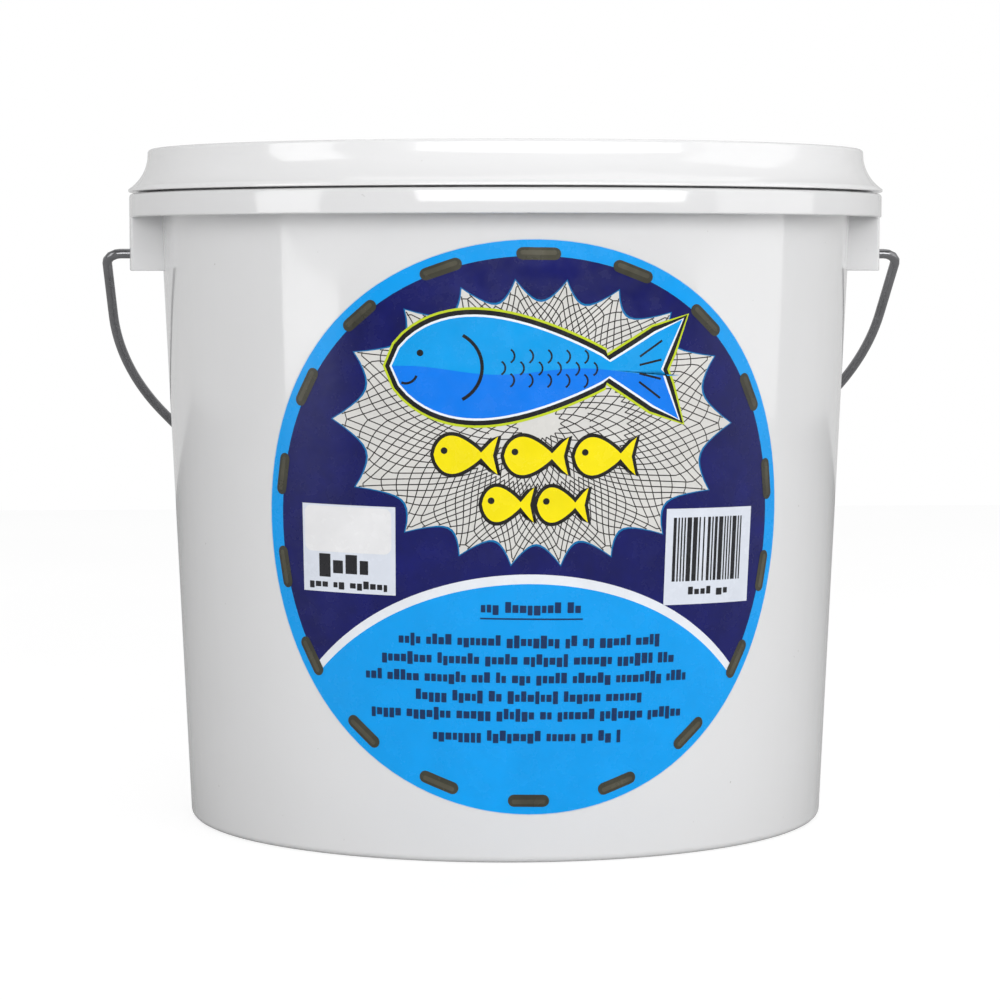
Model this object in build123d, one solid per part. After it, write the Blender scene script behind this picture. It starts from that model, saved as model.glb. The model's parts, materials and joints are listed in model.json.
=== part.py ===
from build123d import *
import os
from math import asin, atan2, cos, degrees, hypot, pi, radians, sin, sqrt, tan

# A cast net stored in its round plastic pail, in millimetres.
# The origin is the centre of the pail's foot, on the ground. +Z is up, the two
# bail lugs lie on the X axis, and the label faces -Y. The lid is on, and the
# wire bail hangs down behind the pail with its grip resting against the wall.

# ---- pail: a tapered shell with a collar, a rim bead and two bail lugs
base_radius = 114.0          # outside of the wall, carried down to the ground
wall_draft = 0.0459          # growth of the radius per millimetre of height
wall = 1.9
floor_thickness = 2.2
foot_height = 3.0            # how far the floor stands above the ground
foot_width = 6.5
rim_height = 235.1
rim_bead_out = 1.8           # how far the rim bead stands out from the wall
rim_bead_depth = 3.6
collar_below_rim = 11.7      # from the rim down to the top of the collar
collar_depth = 8.4
collar_wall = 2.0
collar_overhang = 10.75      # collar's outside beyond the wall
pivot_below_collar = 12.8    # from the collar's lower edge down to the bail axis
lug_width = 28.0
lug_wall = 2.0
lug_below_pivot = 6.1

# ---- lid: a flared skirt, a channel over the rim and a recessed panel
lid_wall = 2.0
lid_skin = 1.4               # the flared skirt is thinner than the rest
lid_skirt_gap = 0.6          # between the skirt and the collar
lid_skirt_overhang = 0.3     # the skirt's outside beyond the collar
lid_rim_clearance = 0.3      # between the channel and the rim bead
lid_plug_clearance = 0.9     # between the plug and the inside of the rim
lid_plug_depth = 9.1         # below the channel's roof
lid_panel_drop = 8.1         # recess of the panel below the lid's top
lid_centre_rise = 1.5
lid_centre_inset = 22.0
gasket_thickness = 1.9
gasket_gap = 0.1             # above the rim, uncompressed

# ---- bail: steel wire, and the plastic grip that turns on it
wire_radius = 1.75
running_clearance = 0.05
bail_standoff = 8.4          # the leg's line beyond the collar
bail_end_radius = 5.0        # the bend just outside the lug
bail_leg_lean = 2.3          # degrees that each leg leans inward
shoulder_drop = 66.5         # from the pivot to where the shoulders turn in
shoulder_radius = 130.0
bail_swing_room = 30.0       # the bail's reach beyond the collar's radius
bail_bend_run = 35.8         # straight length that each lower bend takes up
grip_length = 84.0
grip_radius = 7.5
grip_flange = 3.0
grip_end_gap = 6.0
grip_wall_gap = 0.5          # between the resting grip and the pail's wall
head_radius = 3.2
head_length = 1.6
head_gap = 0.5

# ---- label: a round sheet wrapped on the front of the wall
label_top_gap = 8.4          # from the label's upper edge to the collar
label_foot_gap = 16.6        # from the ground to the label's lower edge
label_thickness = 0.15
label_outline_points = 24

# ---- netting: the packed bulk of the net, with a shelf for the lead line
net_clearance = 1.5
net_headspace = 100.0        # from the rim down to the shelf
net_mound = 23.5             # the mound inside the lead line, above the shelf
net_mound_gap = 4.0          # between the mound and the innermost turn

# ---- lead line: turns of cord that carry lead sleeves and twine lashings
cord_radius = 2.0
weight_radius = 4.5
weight_length = 25.0
weights_per_turn = 8
turn_gap = 0.6               # between the lead sleeves of neighbouring turns
turn_pitch = 2 * weight_radius + turn_gap
turn_columns = 4
bundle_rows = 3              # the lower rows, one closed ring with their weights
top_row_turns = (4, 2)       # turns in each row above the bundle, from the outside in
lashing_radius = 3.2
lashing_length = 9.0
cord_fit = 0.1               # radial room of what is threaded on the cord
crimp_radius = 3.6
crimp_length = 8.0

# ---- horn: the ring that gathers the netting, with the brail lines through it
horn_bore = 19.0
horn_radius = 26.0
horn_height = 22.0
horn_groove_radius = 21.5
horn_groove_width = 7.0
horn_flange = 6.5
part_gap = 0.5               # between soft parts that lie against each other
brail_radius = 4.0
brail_offset = 10.0          # where the brail lines rise inside the horn
brail_bend = 12.0
brail_crimp_radius = 5.6
brail_crimp_length = 10.0
link_radius = 4.0            # the brail lines' end loop
link_wire = 1.0
loop_start_gap = 0.1         # between the bundle's end and its loop

# ---- swivel: a barrel that turns between two headed eyes
eye_radius = 4.5
eye_wire = 1.2
shank_radius = 1.6
shank_length = 5.5
shank_head_radius = 3.6
shank_head_length = 2.0
barrel_radius = 5.5
barrel_length = 13.0
barrel_end = 2.0
barrel_cavity = 4.1

# ---- hand line: braided rope in a tied coil, with a wrist loop at its end
rope_radius = 2.5
coil_horn_gap = 6.0          # between the horn and the coil around it
coil_outside = 59.0
coil_height = 19.0
tie_width = 3.5
tie_thickness = 1.2
loop_half_length = 42.0
loop_near = 32.0             # the wrist loop's near and far sides from the axis
loop_far = 64.0
loop_corner = 15.0
loop_knot_length = 17.0

os.makedirs("parts", exist_ok=True)


def wall_radius(height):
    """Outside radius of the pail's wall at a height."""
    return base_radius + wall_draft * height


def inner_radius(height):
    """Inside radius of the pail's wall at a height."""
    return wall_radius(height) - wall


def turned(corners):
    """A solid turned about Z from corners of radius, height and rounding."""
    points = [(radius, height) for radius, height, rounding in corners]
    roundings = [rounding for radius, height, rounding in corners]
    outline = FilletPolyline(*points, radius=roundings, close=True)
    return revolve(Plane.XZ * make_face(outline), Axis.Z, 360)


def tube(path, radius):
    """A round bar that follows a path."""
    start = Plane(origin=path @ 0, z_dir=path % 0)
    return sweep(start * Circle(radius), path=path)


def arc_sleeve(turn_radius, height, bore, outside, length, centre_angle):
    """A short curved sleeve around one turn of the lead line."""
    section = Plane.XZ * (Pos(turn_radius, height) * (Circle(outside) - Circle(bore)))
    sweep_angle = degrees(length / turn_radius)
    sleeve = revolve(section, Axis.Z, sweep_angle)
    return Rot(0, 0, centre_angle - sweep_angle / 2) * sleeve


def bar_along_x(radius, x_start, x_end, height, y=0.0):
    """A straight round bar parallel to X."""
    middle = (x_start + x_end) / 2
    return Pos(middle, y, height) * Rot(0, 90, 0) * Cylinder(radius, x_end - x_start)


def save(node, shape):
    """Write one sub-part."""
    export_step(shape, "parts/" + node + ".step")


# ---- heights and radii that several parts share
floor_top = foot_height + floor_thickness
collar_top = rim_height - collar_below_rim
collar_bottom = collar_top - collar_depth
collar_radius = wall_radius(collar_top) + collar_overhang
flange_bottom = collar_top - collar_wall
pivot_height = collar_bottom - pivot_below_collar
lug_bottom = pivot_height - lug_below_pivot
bead_radius = wall_radius(rim_height) + rim_bead_out
bead_bottom = rim_height - rim_bead_depth


# ---- pail body
def make_pail_body():
    foot_inner = base_radius - foot_width
    shell = turned([
        (0, foot_height, 0),
        (foot_inner, foot_height, 0.8),
        (foot_inner + 0.5, 0, 0.5),
        (base_radius, 0, 2.5),
        (wall_radius(flange_bottom), flange_bottom, 0.8),
        (collar_radius - collar_wall, flange_bottom, 0.8),
        (collar_radius - collar_wall, collar_bottom, 0.4),
        (collar_radius, collar_bottom, 0.6),
        (collar_radius, collar_top, 1.2),
        (wall_radius(collar_top), collar_top, 0.6),
        (wall_radius(bead_bottom), bead_bottom, 0.3),
        (bead_radius, bead_bottom + 1.2, 0.4),
        (bead_radius, rim_height, 0.9),
        (inner_radius(rim_height), rim_height, 0.5),
        (inner_radius(floor_top), floor_top, 4.0),
        (0, floor_top, 0),
    ])
    for side in (-1, 1):
        shell += make_bail_lug(side)
        hole = bar_along_x(
            wire_radius + running_clearance,
            collar_radius - lug_wall - 2.0,
            collar_radius + 2.0,
            pivot_height,
        )
        shell -= Rot(0, 0, 90 - 90 * side) * hole
    return shell


def make_bail_lug(side):
    """A hollow box under the collar, open below, with its outer face on the collar's radius."""
    height = flange_bottom - lug_bottom
    reach = collar_overhang + wall + 4.0
    middle = side * (collar_radius - reach / 2 + 0.5)
    outer_box = Pos(middle, 0, lug_bottom + height / 2 + 0.25) * Box(reach + 1.0, lug_width, height + 0.5)
    outer_box &= Cylinder(collar_radius, 3 * rim_height)
    outer_box = fillet(
        [edge for edge in outer_box.edges().filter_by(Axis.Z) if edge.center().X * side > collar_radius - 4],
        1.5,
    )
    inner_width = lug_width - 2 * lug_wall
    hollow = Pos(middle, 0, lug_bottom + height / 2 - 0.5) * Box(reach + 3.0, inner_width, height + 1.0)
    hollow &= Cylinder(collar_radius - lug_wall, 3 * rim_height)
    inside = turned([
        (0, 0, 0),
        (inner_radius(0), 0, 0),
        (inner_radius(rim_height), rim_height, 0),
        (0, rim_height, 0),
    ])
    return outer_box - hollow - inside


pail_body = make_pail_body()
save("pail_body", pail_body)


# ---- lid and gasket
channel_roof = rim_height + gasket_gap + gasket_thickness
lid_top = channel_roof + lid_wall
crown_radius = bead_radius + lid_rim_clearance + lid_skin
skirt_radius = collar_radius + lid_skirt_overhang
skirt_bottom = collar_top + lid_skirt_gap
skirt_edge = 1.0             # straight height of the skirt's lower edge
crown_round = 1.3
plug_outside = inner_radius(rim_height) - lid_plug_clearance
plug_inside = plug_outside - wall


def make_lid():
    flare_width = skirt_radius - crown_radius
    flare_height = lid_top - crown_round - skirt_bottom - skirt_edge
    flare_radius = (flare_width**2 + flare_height**2) / (2 * flare_width)
    flare_centre = crown_radius + flare_radius
    flare_level = lid_top - crown_round

    def flare(height, radius):
        return (flare_centre - sqrt(radius**2 - (flare_level - height) ** 2), height)

    under_radius = flare_radius + lid_skin
    panel_top = lid_top - lid_panel_drop
    panel_bottom = panel_top - lid_wall
    centre_radius = plug_inside - lid_centre_inset
    skirt_foot = (skirt_radius, skirt_bottom + skirt_edge)
    crown_foot = (crown_radius, flare_level)
    outer_flare = ThreePointArc(skirt_foot, flare((skirt_foot[1] + flare_level) / 2, flare_radius), crown_foot)
    top = FilletPolyline(
        crown_foot,
        (crown_radius, lid_top),
        (plug_inside, lid_top),
        (plug_inside, panel_top),
        (centre_radius + 2.0, panel_top),
        (centre_radius, panel_top + lid_centre_rise),
        (0, panel_top + lid_centre_rise),
        radius=[crown_round * 0.98, 1.2, 0.9, 0.8, 0.8],
    )
    under_start = flare(channel_roof, under_radius)
    under = FilletPolyline(
        (0, panel_top + lid_centre_rise),
        (0, panel_bottom + lid_centre_rise),
        (centre_radius - 1.0, panel_bottom + lid_centre_rise),
        (centre_radius + 1.0, panel_bottom),
        (plug_inside, panel_bottom),
        (plug_inside, channel_roof - lid_plug_depth),
        (plug_outside, channel_roof - lid_plug_depth),
        (plug_outside, channel_roof),
        under_start,
        radius=[0, 0.8, 0.8, 0, 0.4, 0.8, 0.3],
    )
    under_end = flare(skirt_bottom, under_radius)
    under_middle = flare((channel_roof + skirt_bottom) / 2, under_radius)
    under_flare = ThreePointArc(under_start, under_middle, under_end)
    edge = Polyline(under_end, (skirt_radius, skirt_bottom), skirt_foot)
    section = make_face(outer_flare.edges() + top.edges() + under.edges() + under_flare.edges() + edge.edges())
    return revolve(Plane.XZ * section, Axis.Z, 360)


save("lid", make_lid())

lid_gasket = turned([
    (plug_outside + 0.4, channel_roof - gasket_thickness, 0.5),
    (bead_radius - 0.1, channel_roof - gasket_thickness, 0.5),
    (bead_radius - 0.1, channel_roof, 0.2),
    (plug_outside + 0.4, channel_roof, 0.2),
])
save("lid_gasket", lid_gasket)


# ---- bail wire and grip, drawn hanging straight down and then swung back
bail_reach = collar_radius + bail_swing_room
grip_touch = wall_radius(pivot_height) + grip_radius + grip_wall_gap
bail_angle = asin(grip_touch / (bail_reach * hypot(1, wall_draft))) - atan2(wall_draft, 1)
bail_place = Pos(0, 0, pivot_height) * Rot(degrees(bail_angle), 0, 0)


def make_bail_wire():
    leg_line = collar_radius + bail_standoff
    shoulder_x = leg_line - shoulder_drop * tan(radians(bail_leg_lean))
    corner_x = grip_length / 2 + grip_end_gap + bail_bend_run
    shoulder_lean = atan2(shoulder_x - corner_x, bail_reach - shoulder_drop)
    lower_bend = bail_bend_run / tan((pi / 2 - shoulder_lean) / 2)
    head_outside = collar_radius - lug_wall - head_gap
    right = [
        (head_outside - head_length / 2, 0, 0),
        (leg_line, 0, 0),
        (shoulder_x, 0, -shoulder_drop),
        (corner_x, 0, -bail_reach),
    ]
    left = [(-x, y, z) for x, y, z in reversed(right)]
    bends = [bail_end_radius, shoulder_radius, lower_bend]
    path = FilletPolyline(*(right + left), radius=bends + bends[::-1])
    bail = tube(path, wire_radius)
    for side in (-1, 1):
        head = bar_along_x(head_radius, head_outside - head_length, head_outside, 0)
        bail += Rot(0, 0, 90 - 90 * side) * head
    return bail_place * bail


def make_bail_grip():
    half = grip_length / 2
    bore = wire_radius + running_clearance
    sleeve = turned([
        (bore, -half, 0.3),
        (grip_radius, -half, 1.0),
        (grip_radius, -half + grip_flange, 0.8),
        (grip_radius - 1.2, -half + grip_flange + 1.5, 0.8),
        (grip_radius - 1.2, half - grip_flange - 1.5, 0.8),
        (grip_radius, half - grip_flange, 0.8),
        (grip_radius, half, 1.0),
        (bore, half, 0.3),
    ])
    return bail_place * Pos(0, 0, -bail_reach) * Rot(0, 90, 0) * sleeve


save("bail_wire", make_bail_wire())
save("bail_grip", make_bail_grip())


# ---- front label: the stretch of a thin cone that lies inside a round outline
label_radius = (collar_bottom - label_top_gap - label_foot_gap) / 2
label_height = label_foot_gap + label_radius


def make_front_label():
    low = label_height - label_radius - 5
    high = label_height + label_radius + 5
    sheet = turned([
        (wall_radius(low), low, 0),
        (wall_radius(low) + label_thickness, low, 0),
        (wall_radius(high) + label_thickness, high, 0),
        (wall_radius(high), high, 0),
    ])
    wrap_radius = wall_radius(label_height)
    outline = []
    for step in range(label_outline_points):
        turn = 2 * pi * step / label_outline_points
        along = label_radius * cos(turn)
        outline.append((wrap_radius * sin(along / wrap_radius), label_height + label_radius * sin(turn)))
    cutter_face = Plane.XZ * make_face(Spline(*outline, periodic=True))
    cutter = extrude(cutter_face, 2 * wrap_radius)
    return sheet & cutter


save("front_label", make_front_label())


# ---- lead line: stacked turns in the outer part of the pail, the upper ones made one by one
shelf = rim_height - net_headspace
outer_turn = inner_radius(shelf) - net_clearance - weight_radius - part_gap
inner_turn = outer_turn - (turn_columns - 1) * turn_pitch

bundle_top = shelf + bundle_rows * turn_pitch
lead_line_bundle = turned([
    (inner_turn - weight_radius, shelf + part_gap, 3.0),
    (outer_turn + weight_radius, shelf + part_gap, 3.0),
    (outer_turn + weight_radius, bundle_top, 3.0),
    (inner_turn - weight_radius, bundle_top, 3.0),
])
save("lead_line_bundle", lead_line_bundle)

turns = []
for row, columns in enumerate(top_row_turns):
    for column in range(columns):
        height = bundle_top + part_gap + weight_radius + row * turn_pitch
        turns.append((outer_turn - column * turn_pitch, height, row + column))

lead_cord = []
lead_weights = []
lead_lashings = []
weight_step = 360 / weights_per_turn
for turn_radius, turn_height, stagger in turns:
    lead_cord.append(Pos(0, 0, turn_height) * Torus(turn_radius, cord_radius))
    bore = cord_radius + cord_fit
    first = stagger % 2 * weight_step / 2
    weight = arc_sleeve(turn_radius, turn_height, bore, weight_radius, weight_length, first)
    lashing = arc_sleeve(
        turn_radius, turn_height, bore, lashing_radius, lashing_length, first + weight_step / 2
    )
    for number in range(weights_per_turn):
        lead_weights.append(Rot(0, 0, number * weight_step) * weight)
        lead_lashings.append(Rot(0, 0, number * weight_step) * lashing)

save("lead_line", Compound(children=lead_cord))
save("lead_weights", Compound(children=lead_weights))
save("lead_line_lashing", Compound(children=lead_lashings))

# the sleeve that joins the cord's two ends sits on the uppermost outer turn
crimp_turn, crimp_height, crimp_stagger = turns[-top_row_turns[-1]]
crimp_angle = weight_step * (1 + crimp_stagger % 2) / 2 - weight_step / 4 - 90
lead_line_crimp = arc_sleeve(
    crimp_turn, crimp_height, cord_radius + cord_fit, crimp_radius, crimp_length, crimp_angle
)
save("lead_line_crimp", lead_line_crimp)


# ---- netting: one closed mass that fills the pail below the lead line
mound_top = shelf + net_mound
mound_radius = inner_turn - weight_radius - net_mound_gap
netting = turned([
    (0, floor_top + part_gap, 0),
    (inner_radius(floor_top) - net_clearance - 3.0, floor_top + part_gap, 8.0),
    (inner_radius(shelf) - net_clearance, shelf, 5.0),
    (mound_radius, shelf, 5.0),
    (mound_radius, mound_top, 8.0),
    (0, mound_top, 0),
])
save("netting", netting)


# ---- horn and its lashing, standing on the mound
horn_base = mound_top + part_gap
groove_low = horn_base + horn_height / 2 - horn_groove_width / 2
groove_high = horn_base + horn_height / 2 + horn_groove_width / 2
horn = turned([
    (horn_bore, horn_base, 2.0),
    (horn_radius, horn_base, 2.0),
    (horn_radius, horn_base + horn_flange, 1.0),
    (horn_groove_radius, groove_low, 0.5),
    (horn_groove_radius, groove_high, 0.5),
    (horn_radius, horn_base + horn_height - horn_flange, 1.0),
    (horn_radius, horn_base + horn_height, 2.0),
    (horn_bore, horn_base + horn_height, 2.0),
])
save("horn", horn)

horn_lashing = turned([
    (horn_groove_radius + 0.05, groove_low + 0.4, 0.4),
    (horn_groove_radius + 2.4, groove_low + 0.4, 1.0),
    (horn_groove_radius + 2.4, groove_high - 0.4, 1.0),
    (horn_groove_radius + 0.05, groove_high - 0.4, 0.4),
])
save("horn_lashing", horn_lashing)


# ---- hand line coil, round the horn, and the height of what lies on both
coil_base = mound_top + part_gap + tie_thickness + part_gap
coil_top = coil_base + coil_height
coil_inside = horn_radius + coil_horn_gap
horn_top = horn_base + horn_height
swivel_height = max(horn_top, coil_top) + barrel_radius + part_gap

hand_line_coil = turned([
    (coil_inside, coil_base, 5.0),
    (coil_outside, coil_base, 5.0),
    (coil_outside, coil_top, 5.0),
    (coil_inside, coil_top, 5.0),
])
save("hand_line_coil", hand_line_coil)


def make_coil_tie(angle):
    """A flat band round the coil's section."""
    middle = (coil_inside + coil_outside) / 2
    width = coil_outside - coil_inside + 2 * part_gap
    height = coil_height + 2 * part_gap
    outside = RectangleRounded(width + 2 * tie_thickness, height + 2 * tie_thickness, 5.5 + tie_thickness)
    band = outside - RectangleRounded(width, height, 5.5)
    section = Plane.XZ * (Pos(middle, coil_base + coil_height / 2) * band)
    return Rot(0, 0, angle) * extrude(section, tie_width / 2, both=True)


save("hand_line_ties", Compound(children=[make_coil_tie(150), make_coil_tie(330)]))


# ---- brail lines: a bundle up through the horn, bent over to the swivel
crimp_start = -brail_offset + brail_bend + 2.0
crimp_end = crimp_start + brail_crimp_length
link_centre = crimp_end + link_radius + link_wire + loop_start_gap
brail_path = FilletPolyline(
    (-brail_offset, 0, horn_base + 2.0),
    (-brail_offset, 0, swivel_height),
    (crimp_end, 0, swivel_height),
    radius=[brail_bend],
)
brail_loop = Pos(link_centre, 0, swivel_height) * Torus(link_radius, link_wire)
save("brail_lines", Compound(children=[tube(brail_path, brail_radius), brail_loop]))

brail_crimp = bar_along_x(brail_crimp_radius, crimp_start, crimp_end - 1.0, swivel_height)
brail_crimp -= bar_along_x(brail_radius + running_clearance, crimp_start - 1, crimp_end + 1, swivel_height)
save("brail_crimp", brail_crimp)


# ---- swivel: two eyes whose heads are held inside the barrel's ends
lower_eye_centre = link_centre + link_radius + eye_radius - 2 * eye_wire
barrel_start = lower_eye_centre + eye_radius + shank_length - barrel_end
barrel_finish = barrel_start + barrel_length
upper_eye_centre = barrel_finish + barrel_start - lower_eye_centre


def make_swivel_eye():
    """An eye at the origin with its shank and head along +X."""
    ring = Rot(90, 0, 0) * Torus(eye_radius, eye_wire)
    head_start = barrel_start + barrel_end + 0.1 - lower_eye_centre
    shank = bar_along_x(shank_radius, eye_radius, head_start + 0.5, 0)
    head = bar_along_x(shank_head_radius, head_start, head_start + shank_head_length, 0)
    return ring + shank + head


swivel_eye = make_swivel_eye()
save("swivel_eye_lower", Pos(lower_eye_centre, 0, swivel_height) * swivel_eye)
save("swivel_eye_upper", Pos(upper_eye_centre, 0, swivel_height) * Rot(0, 0, 180) * swivel_eye)

half_barrel = barrel_length / 2
half_cavity = half_barrel - barrel_end
barrel = turned([
    (shank_radius + running_clearance, -half_barrel, 0),
    (barrel_radius - 1.5, -half_barrel, 0.5),
    (barrel_radius, -half_barrel + 3.0, 1.0),
    (barrel_radius, half_barrel - 3.0, 1.0),
    (barrel_radius - 1.5, half_barrel, 0.5),
    (shank_radius + running_clearance, half_barrel, 0),
    (shank_radius + running_clearance, half_cavity, 0),
    (barrel_cavity, half_cavity, 0),
    (barrel_cavity, -half_cavity, 0),
    (shank_radius + running_clearance, -half_cavity, 0),
])
barrel_middle = (barrel_start + barrel_finish) / 2
save("swivel_barrel", Pos(barrel_middle, 0, swivel_height) * Rot(0, 90, 0) * barrel)


# ---- hand line: the knot on the upper eye, and the lead from it to the coil
knot_link = upper_eye_centre + eye_radius + link_radius - 2 * eye_wire
knot_start = knot_link + link_radius - 1.0
knot_length = 12.0
knot_radius = 4.6
knot_end = knot_start + knot_length
hand_line_knot = Pos(knot_link, 0, swivel_height) * Torus(link_radius, link_wire)
hand_line_knot += bar_along_x(knot_radius, knot_start, knot_end, swivel_height)
save("hand_line_knot", hand_line_knot)


def route_radii(route):
    """The largest arc at each corner: 0.45 of the shorter run over the half turn's tangent."""
    radii = []
    for before, corner, after in zip(route, route[1:], route[2:]):
        run_in = Vector(*corner) - Vector(*before)
        run_out = Vector(*after) - Vector(*corner)
        half_turn = radians(run_in.get_angle(run_out)) / 2
        radii.append(0.45 * min(run_in.length, run_out.length) / tan(half_turn))
    return radii


# heights are above the coil's top; the route ends by sinking into the coil's outer turn
lead_route = [
    (knot_end, 0, swivel_height - coil_top),
    (knot_end + 9, 0, swivel_height - coil_top),
    (knot_end + 12, 14, 10.0),
    (knot_end + 4, 30, 9.0),
    (68, 43, 7.5),
    (52, 50, 5.5),
    (36, 52, 2.5),
    (22, 48, -2.0),
]
lead_route = [(x, y, coil_top + height) for x, y, height in lead_route]
lead_radii = route_radii(lead_route)
print("hand line lead radii", [round(radius, 1) for radius in lead_radii])
lead_path = FilletPolyline(*lead_route, radius=lead_radii)
hand_line_lead = tube(lead_path, rope_radius)
print("hand line lead length", round(lead_path.length, 1))
print("volume over section times length", round(hand_line_lead.volume / (pi * rope_radius**2 * lead_path.length), 4))
save("hand_line_lead", hand_line_lead)


# ---- wrist loop: the rope's end turned back on itself, lying on the coil
loop_height = coil_top + rope_radius + tie_thickness + part_gap + 0.3
loop_path = FilletPolyline(
    (loop_knot_length / 2, -loop_far, loop_height),
    (loop_half_length, -loop_far, loop_height),
    (loop_half_length, -loop_near, loop_height),
    (-loop_half_length, -loop_near, loop_height),
    (-loop_half_length, -loop_far, loop_height),
    (-loop_knot_length / 2, -loop_far, loop_height),
    radius=loop_corner,
)
save("wrist_loop", tube(loop_path, rope_radius))

wrist_loop_knot = Pos(0, -loop_far, loop_height + 1.5) * Rot(0, 90, 0) * turned([
    (0, -loop_knot_length / 2, 0),
    (3.5, -loop_knot_length / 2, 1.5),
    (5.5, -2.0, 2.0),
    (5.5, 2.0, 2.0),
    (3.5, loop_knot_length / 2, 1.5),
    (0, loop_knot_length / 2, 0),
])
save("wrist_loop_knot", wrist_loop_knot)

bundle_length = bundle_rows * turn_columns * pi * (outer_turn + inner_turn)
upper_length = sum(2 * pi * turn_radius for turn_radius, turn_height, stagger in turns)
coil_turns = (coil_outside - coil_inside) * coil_height / (2 * rope_radius) ** 2
coil_length = coil_turns * pi * (coil_inside + coil_outside)
print("lead line length", round(bundle_length + upper_length), "weights shown", len(lead_weights))
print("hand line in the coil about", round(coil_length))
print("bail hangs", round(degrees(bail_angle), 1), "degrees back, reach", round(bail_reach, 1))
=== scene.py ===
import json
import math
import random
from contextlib import contextmanager

import bmesh
import bpy
from mathutils import Matrix, Vector


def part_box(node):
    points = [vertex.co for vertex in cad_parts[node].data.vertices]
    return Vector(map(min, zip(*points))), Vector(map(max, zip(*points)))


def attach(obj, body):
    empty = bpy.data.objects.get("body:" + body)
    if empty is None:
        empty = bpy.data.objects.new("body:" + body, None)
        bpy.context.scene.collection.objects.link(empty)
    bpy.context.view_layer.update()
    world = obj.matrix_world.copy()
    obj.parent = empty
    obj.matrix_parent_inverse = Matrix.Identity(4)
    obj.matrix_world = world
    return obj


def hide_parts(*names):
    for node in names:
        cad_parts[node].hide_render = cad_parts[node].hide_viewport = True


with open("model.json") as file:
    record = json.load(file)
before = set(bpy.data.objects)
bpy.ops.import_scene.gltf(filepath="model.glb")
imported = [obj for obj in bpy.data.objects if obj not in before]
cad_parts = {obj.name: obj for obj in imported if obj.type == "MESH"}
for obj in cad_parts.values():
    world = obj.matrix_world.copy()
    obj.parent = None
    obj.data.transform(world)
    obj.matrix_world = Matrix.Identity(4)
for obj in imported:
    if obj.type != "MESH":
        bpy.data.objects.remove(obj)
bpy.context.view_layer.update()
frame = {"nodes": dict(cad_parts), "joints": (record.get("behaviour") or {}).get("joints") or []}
MM = 0.001
chance = random.Random(11)

# ---- places read from the frame, in metres
pail_low, pail_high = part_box("pail_body")
lid_low, lid_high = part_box("lid")
label_low, label_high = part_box("front_label")
joints = {joint["name"]: joint for joint in frame["joints"]}
rim_height = pail_high.z
collar_radius = (pail_high.y - pail_low.y) / 2
pivot_height = joints["bail_swing"]["pos_m"][2]
grip_place = Vector(joints["grip_spin"]["pos_m"])
swivel_place = Vector(joints["swivel_spin"]["pos_m"])
lid_top = lid_high.z
skirt_radius = (lid_high.y - lid_low.y) / 2
label_height = (label_low.z + label_high.z) / 2
netting_low, netting_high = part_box("netting")
coil_low, coil_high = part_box("hand_line_coil")
bundle_low, bundle_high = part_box("lead_line_bundle")
horn_low, horn_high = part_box("horn")
bundle_radius = (bundle_high.x - bundle_low.x) / 2

# ---- sizes of the pail that its box doesn't give, in metres
wall = 1.9 * MM
wall_draft = 0.0459
base_radius = 114.0 * MM
collar_depth = 8.4 * MM
collar_top = rim_height - 11.7 * MM
collar_wall = 2.0 * MM
lug_width = 28.0 * MM
lug_bottom = pivot_height - 6.1 * MM
bail_reach = math.hypot(grip_place.y, grip_place.z - pivot_height)
bail_angle = math.atan2(grip_place.y, pivot_height - grip_place.z)
wire_radius = 1.75 * MM

# ---- sizes of the net's lines, in metres
turn_pitch = 9.6 * MM
sleeve_radius = 4.5 * MM
upper_turns_rise = 5.0 * MM


def wall_radius(height):
    """Outside radius of the pail's wall at a height."""
    return base_radius + wall_draft * height


# ================================================================ camera, light, floor
CAMERA_DISTANCE = 1.225
CAMERA_HEIGHT = 0.200
CAMERA_AZIMUTH = math.radians(-4.45)
CAMERA_PITCH = math.radians(4.065)
CAMERA_YAW = math.radians(0.09)
LENS = 121.7


def placed(name, data):
    """A new object in the scene for a mesh, a light or a camera."""
    obj = bpy.data.objects.new(name, data)
    bpy.context.scene.collection.objects.link(obj)
    return obj


def make_camera():
    """A long lens a little to the left of the label, looking slightly down."""
    camera = bpy.data.cameras.new("camera")
    camera.lens = LENS
    camera.sensor_width = 36.0
    camera.clip_end = 50.0
    place = placed("camera", camera)
    place.location = (
        CAMERA_DISTANCE * math.sin(CAMERA_AZIMUTH),
        -CAMERA_DISTANCE * math.cos(CAMERA_AZIMUTH),
        CAMERA_HEIGHT,
    )
    heading = CAMERA_AZIMUTH + CAMERA_YAW
    forward = Vector((
        -math.sin(heading) * math.cos(CAMERA_PITCH),
        math.cos(heading) * math.cos(CAMERA_PITCH),
        -math.sin(CAMERA_PITCH),
    ))
    place.rotation_euler = forward.to_track_quat("-Z", "Y").to_euler()
    bpy.context.scene.camera = place


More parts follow.
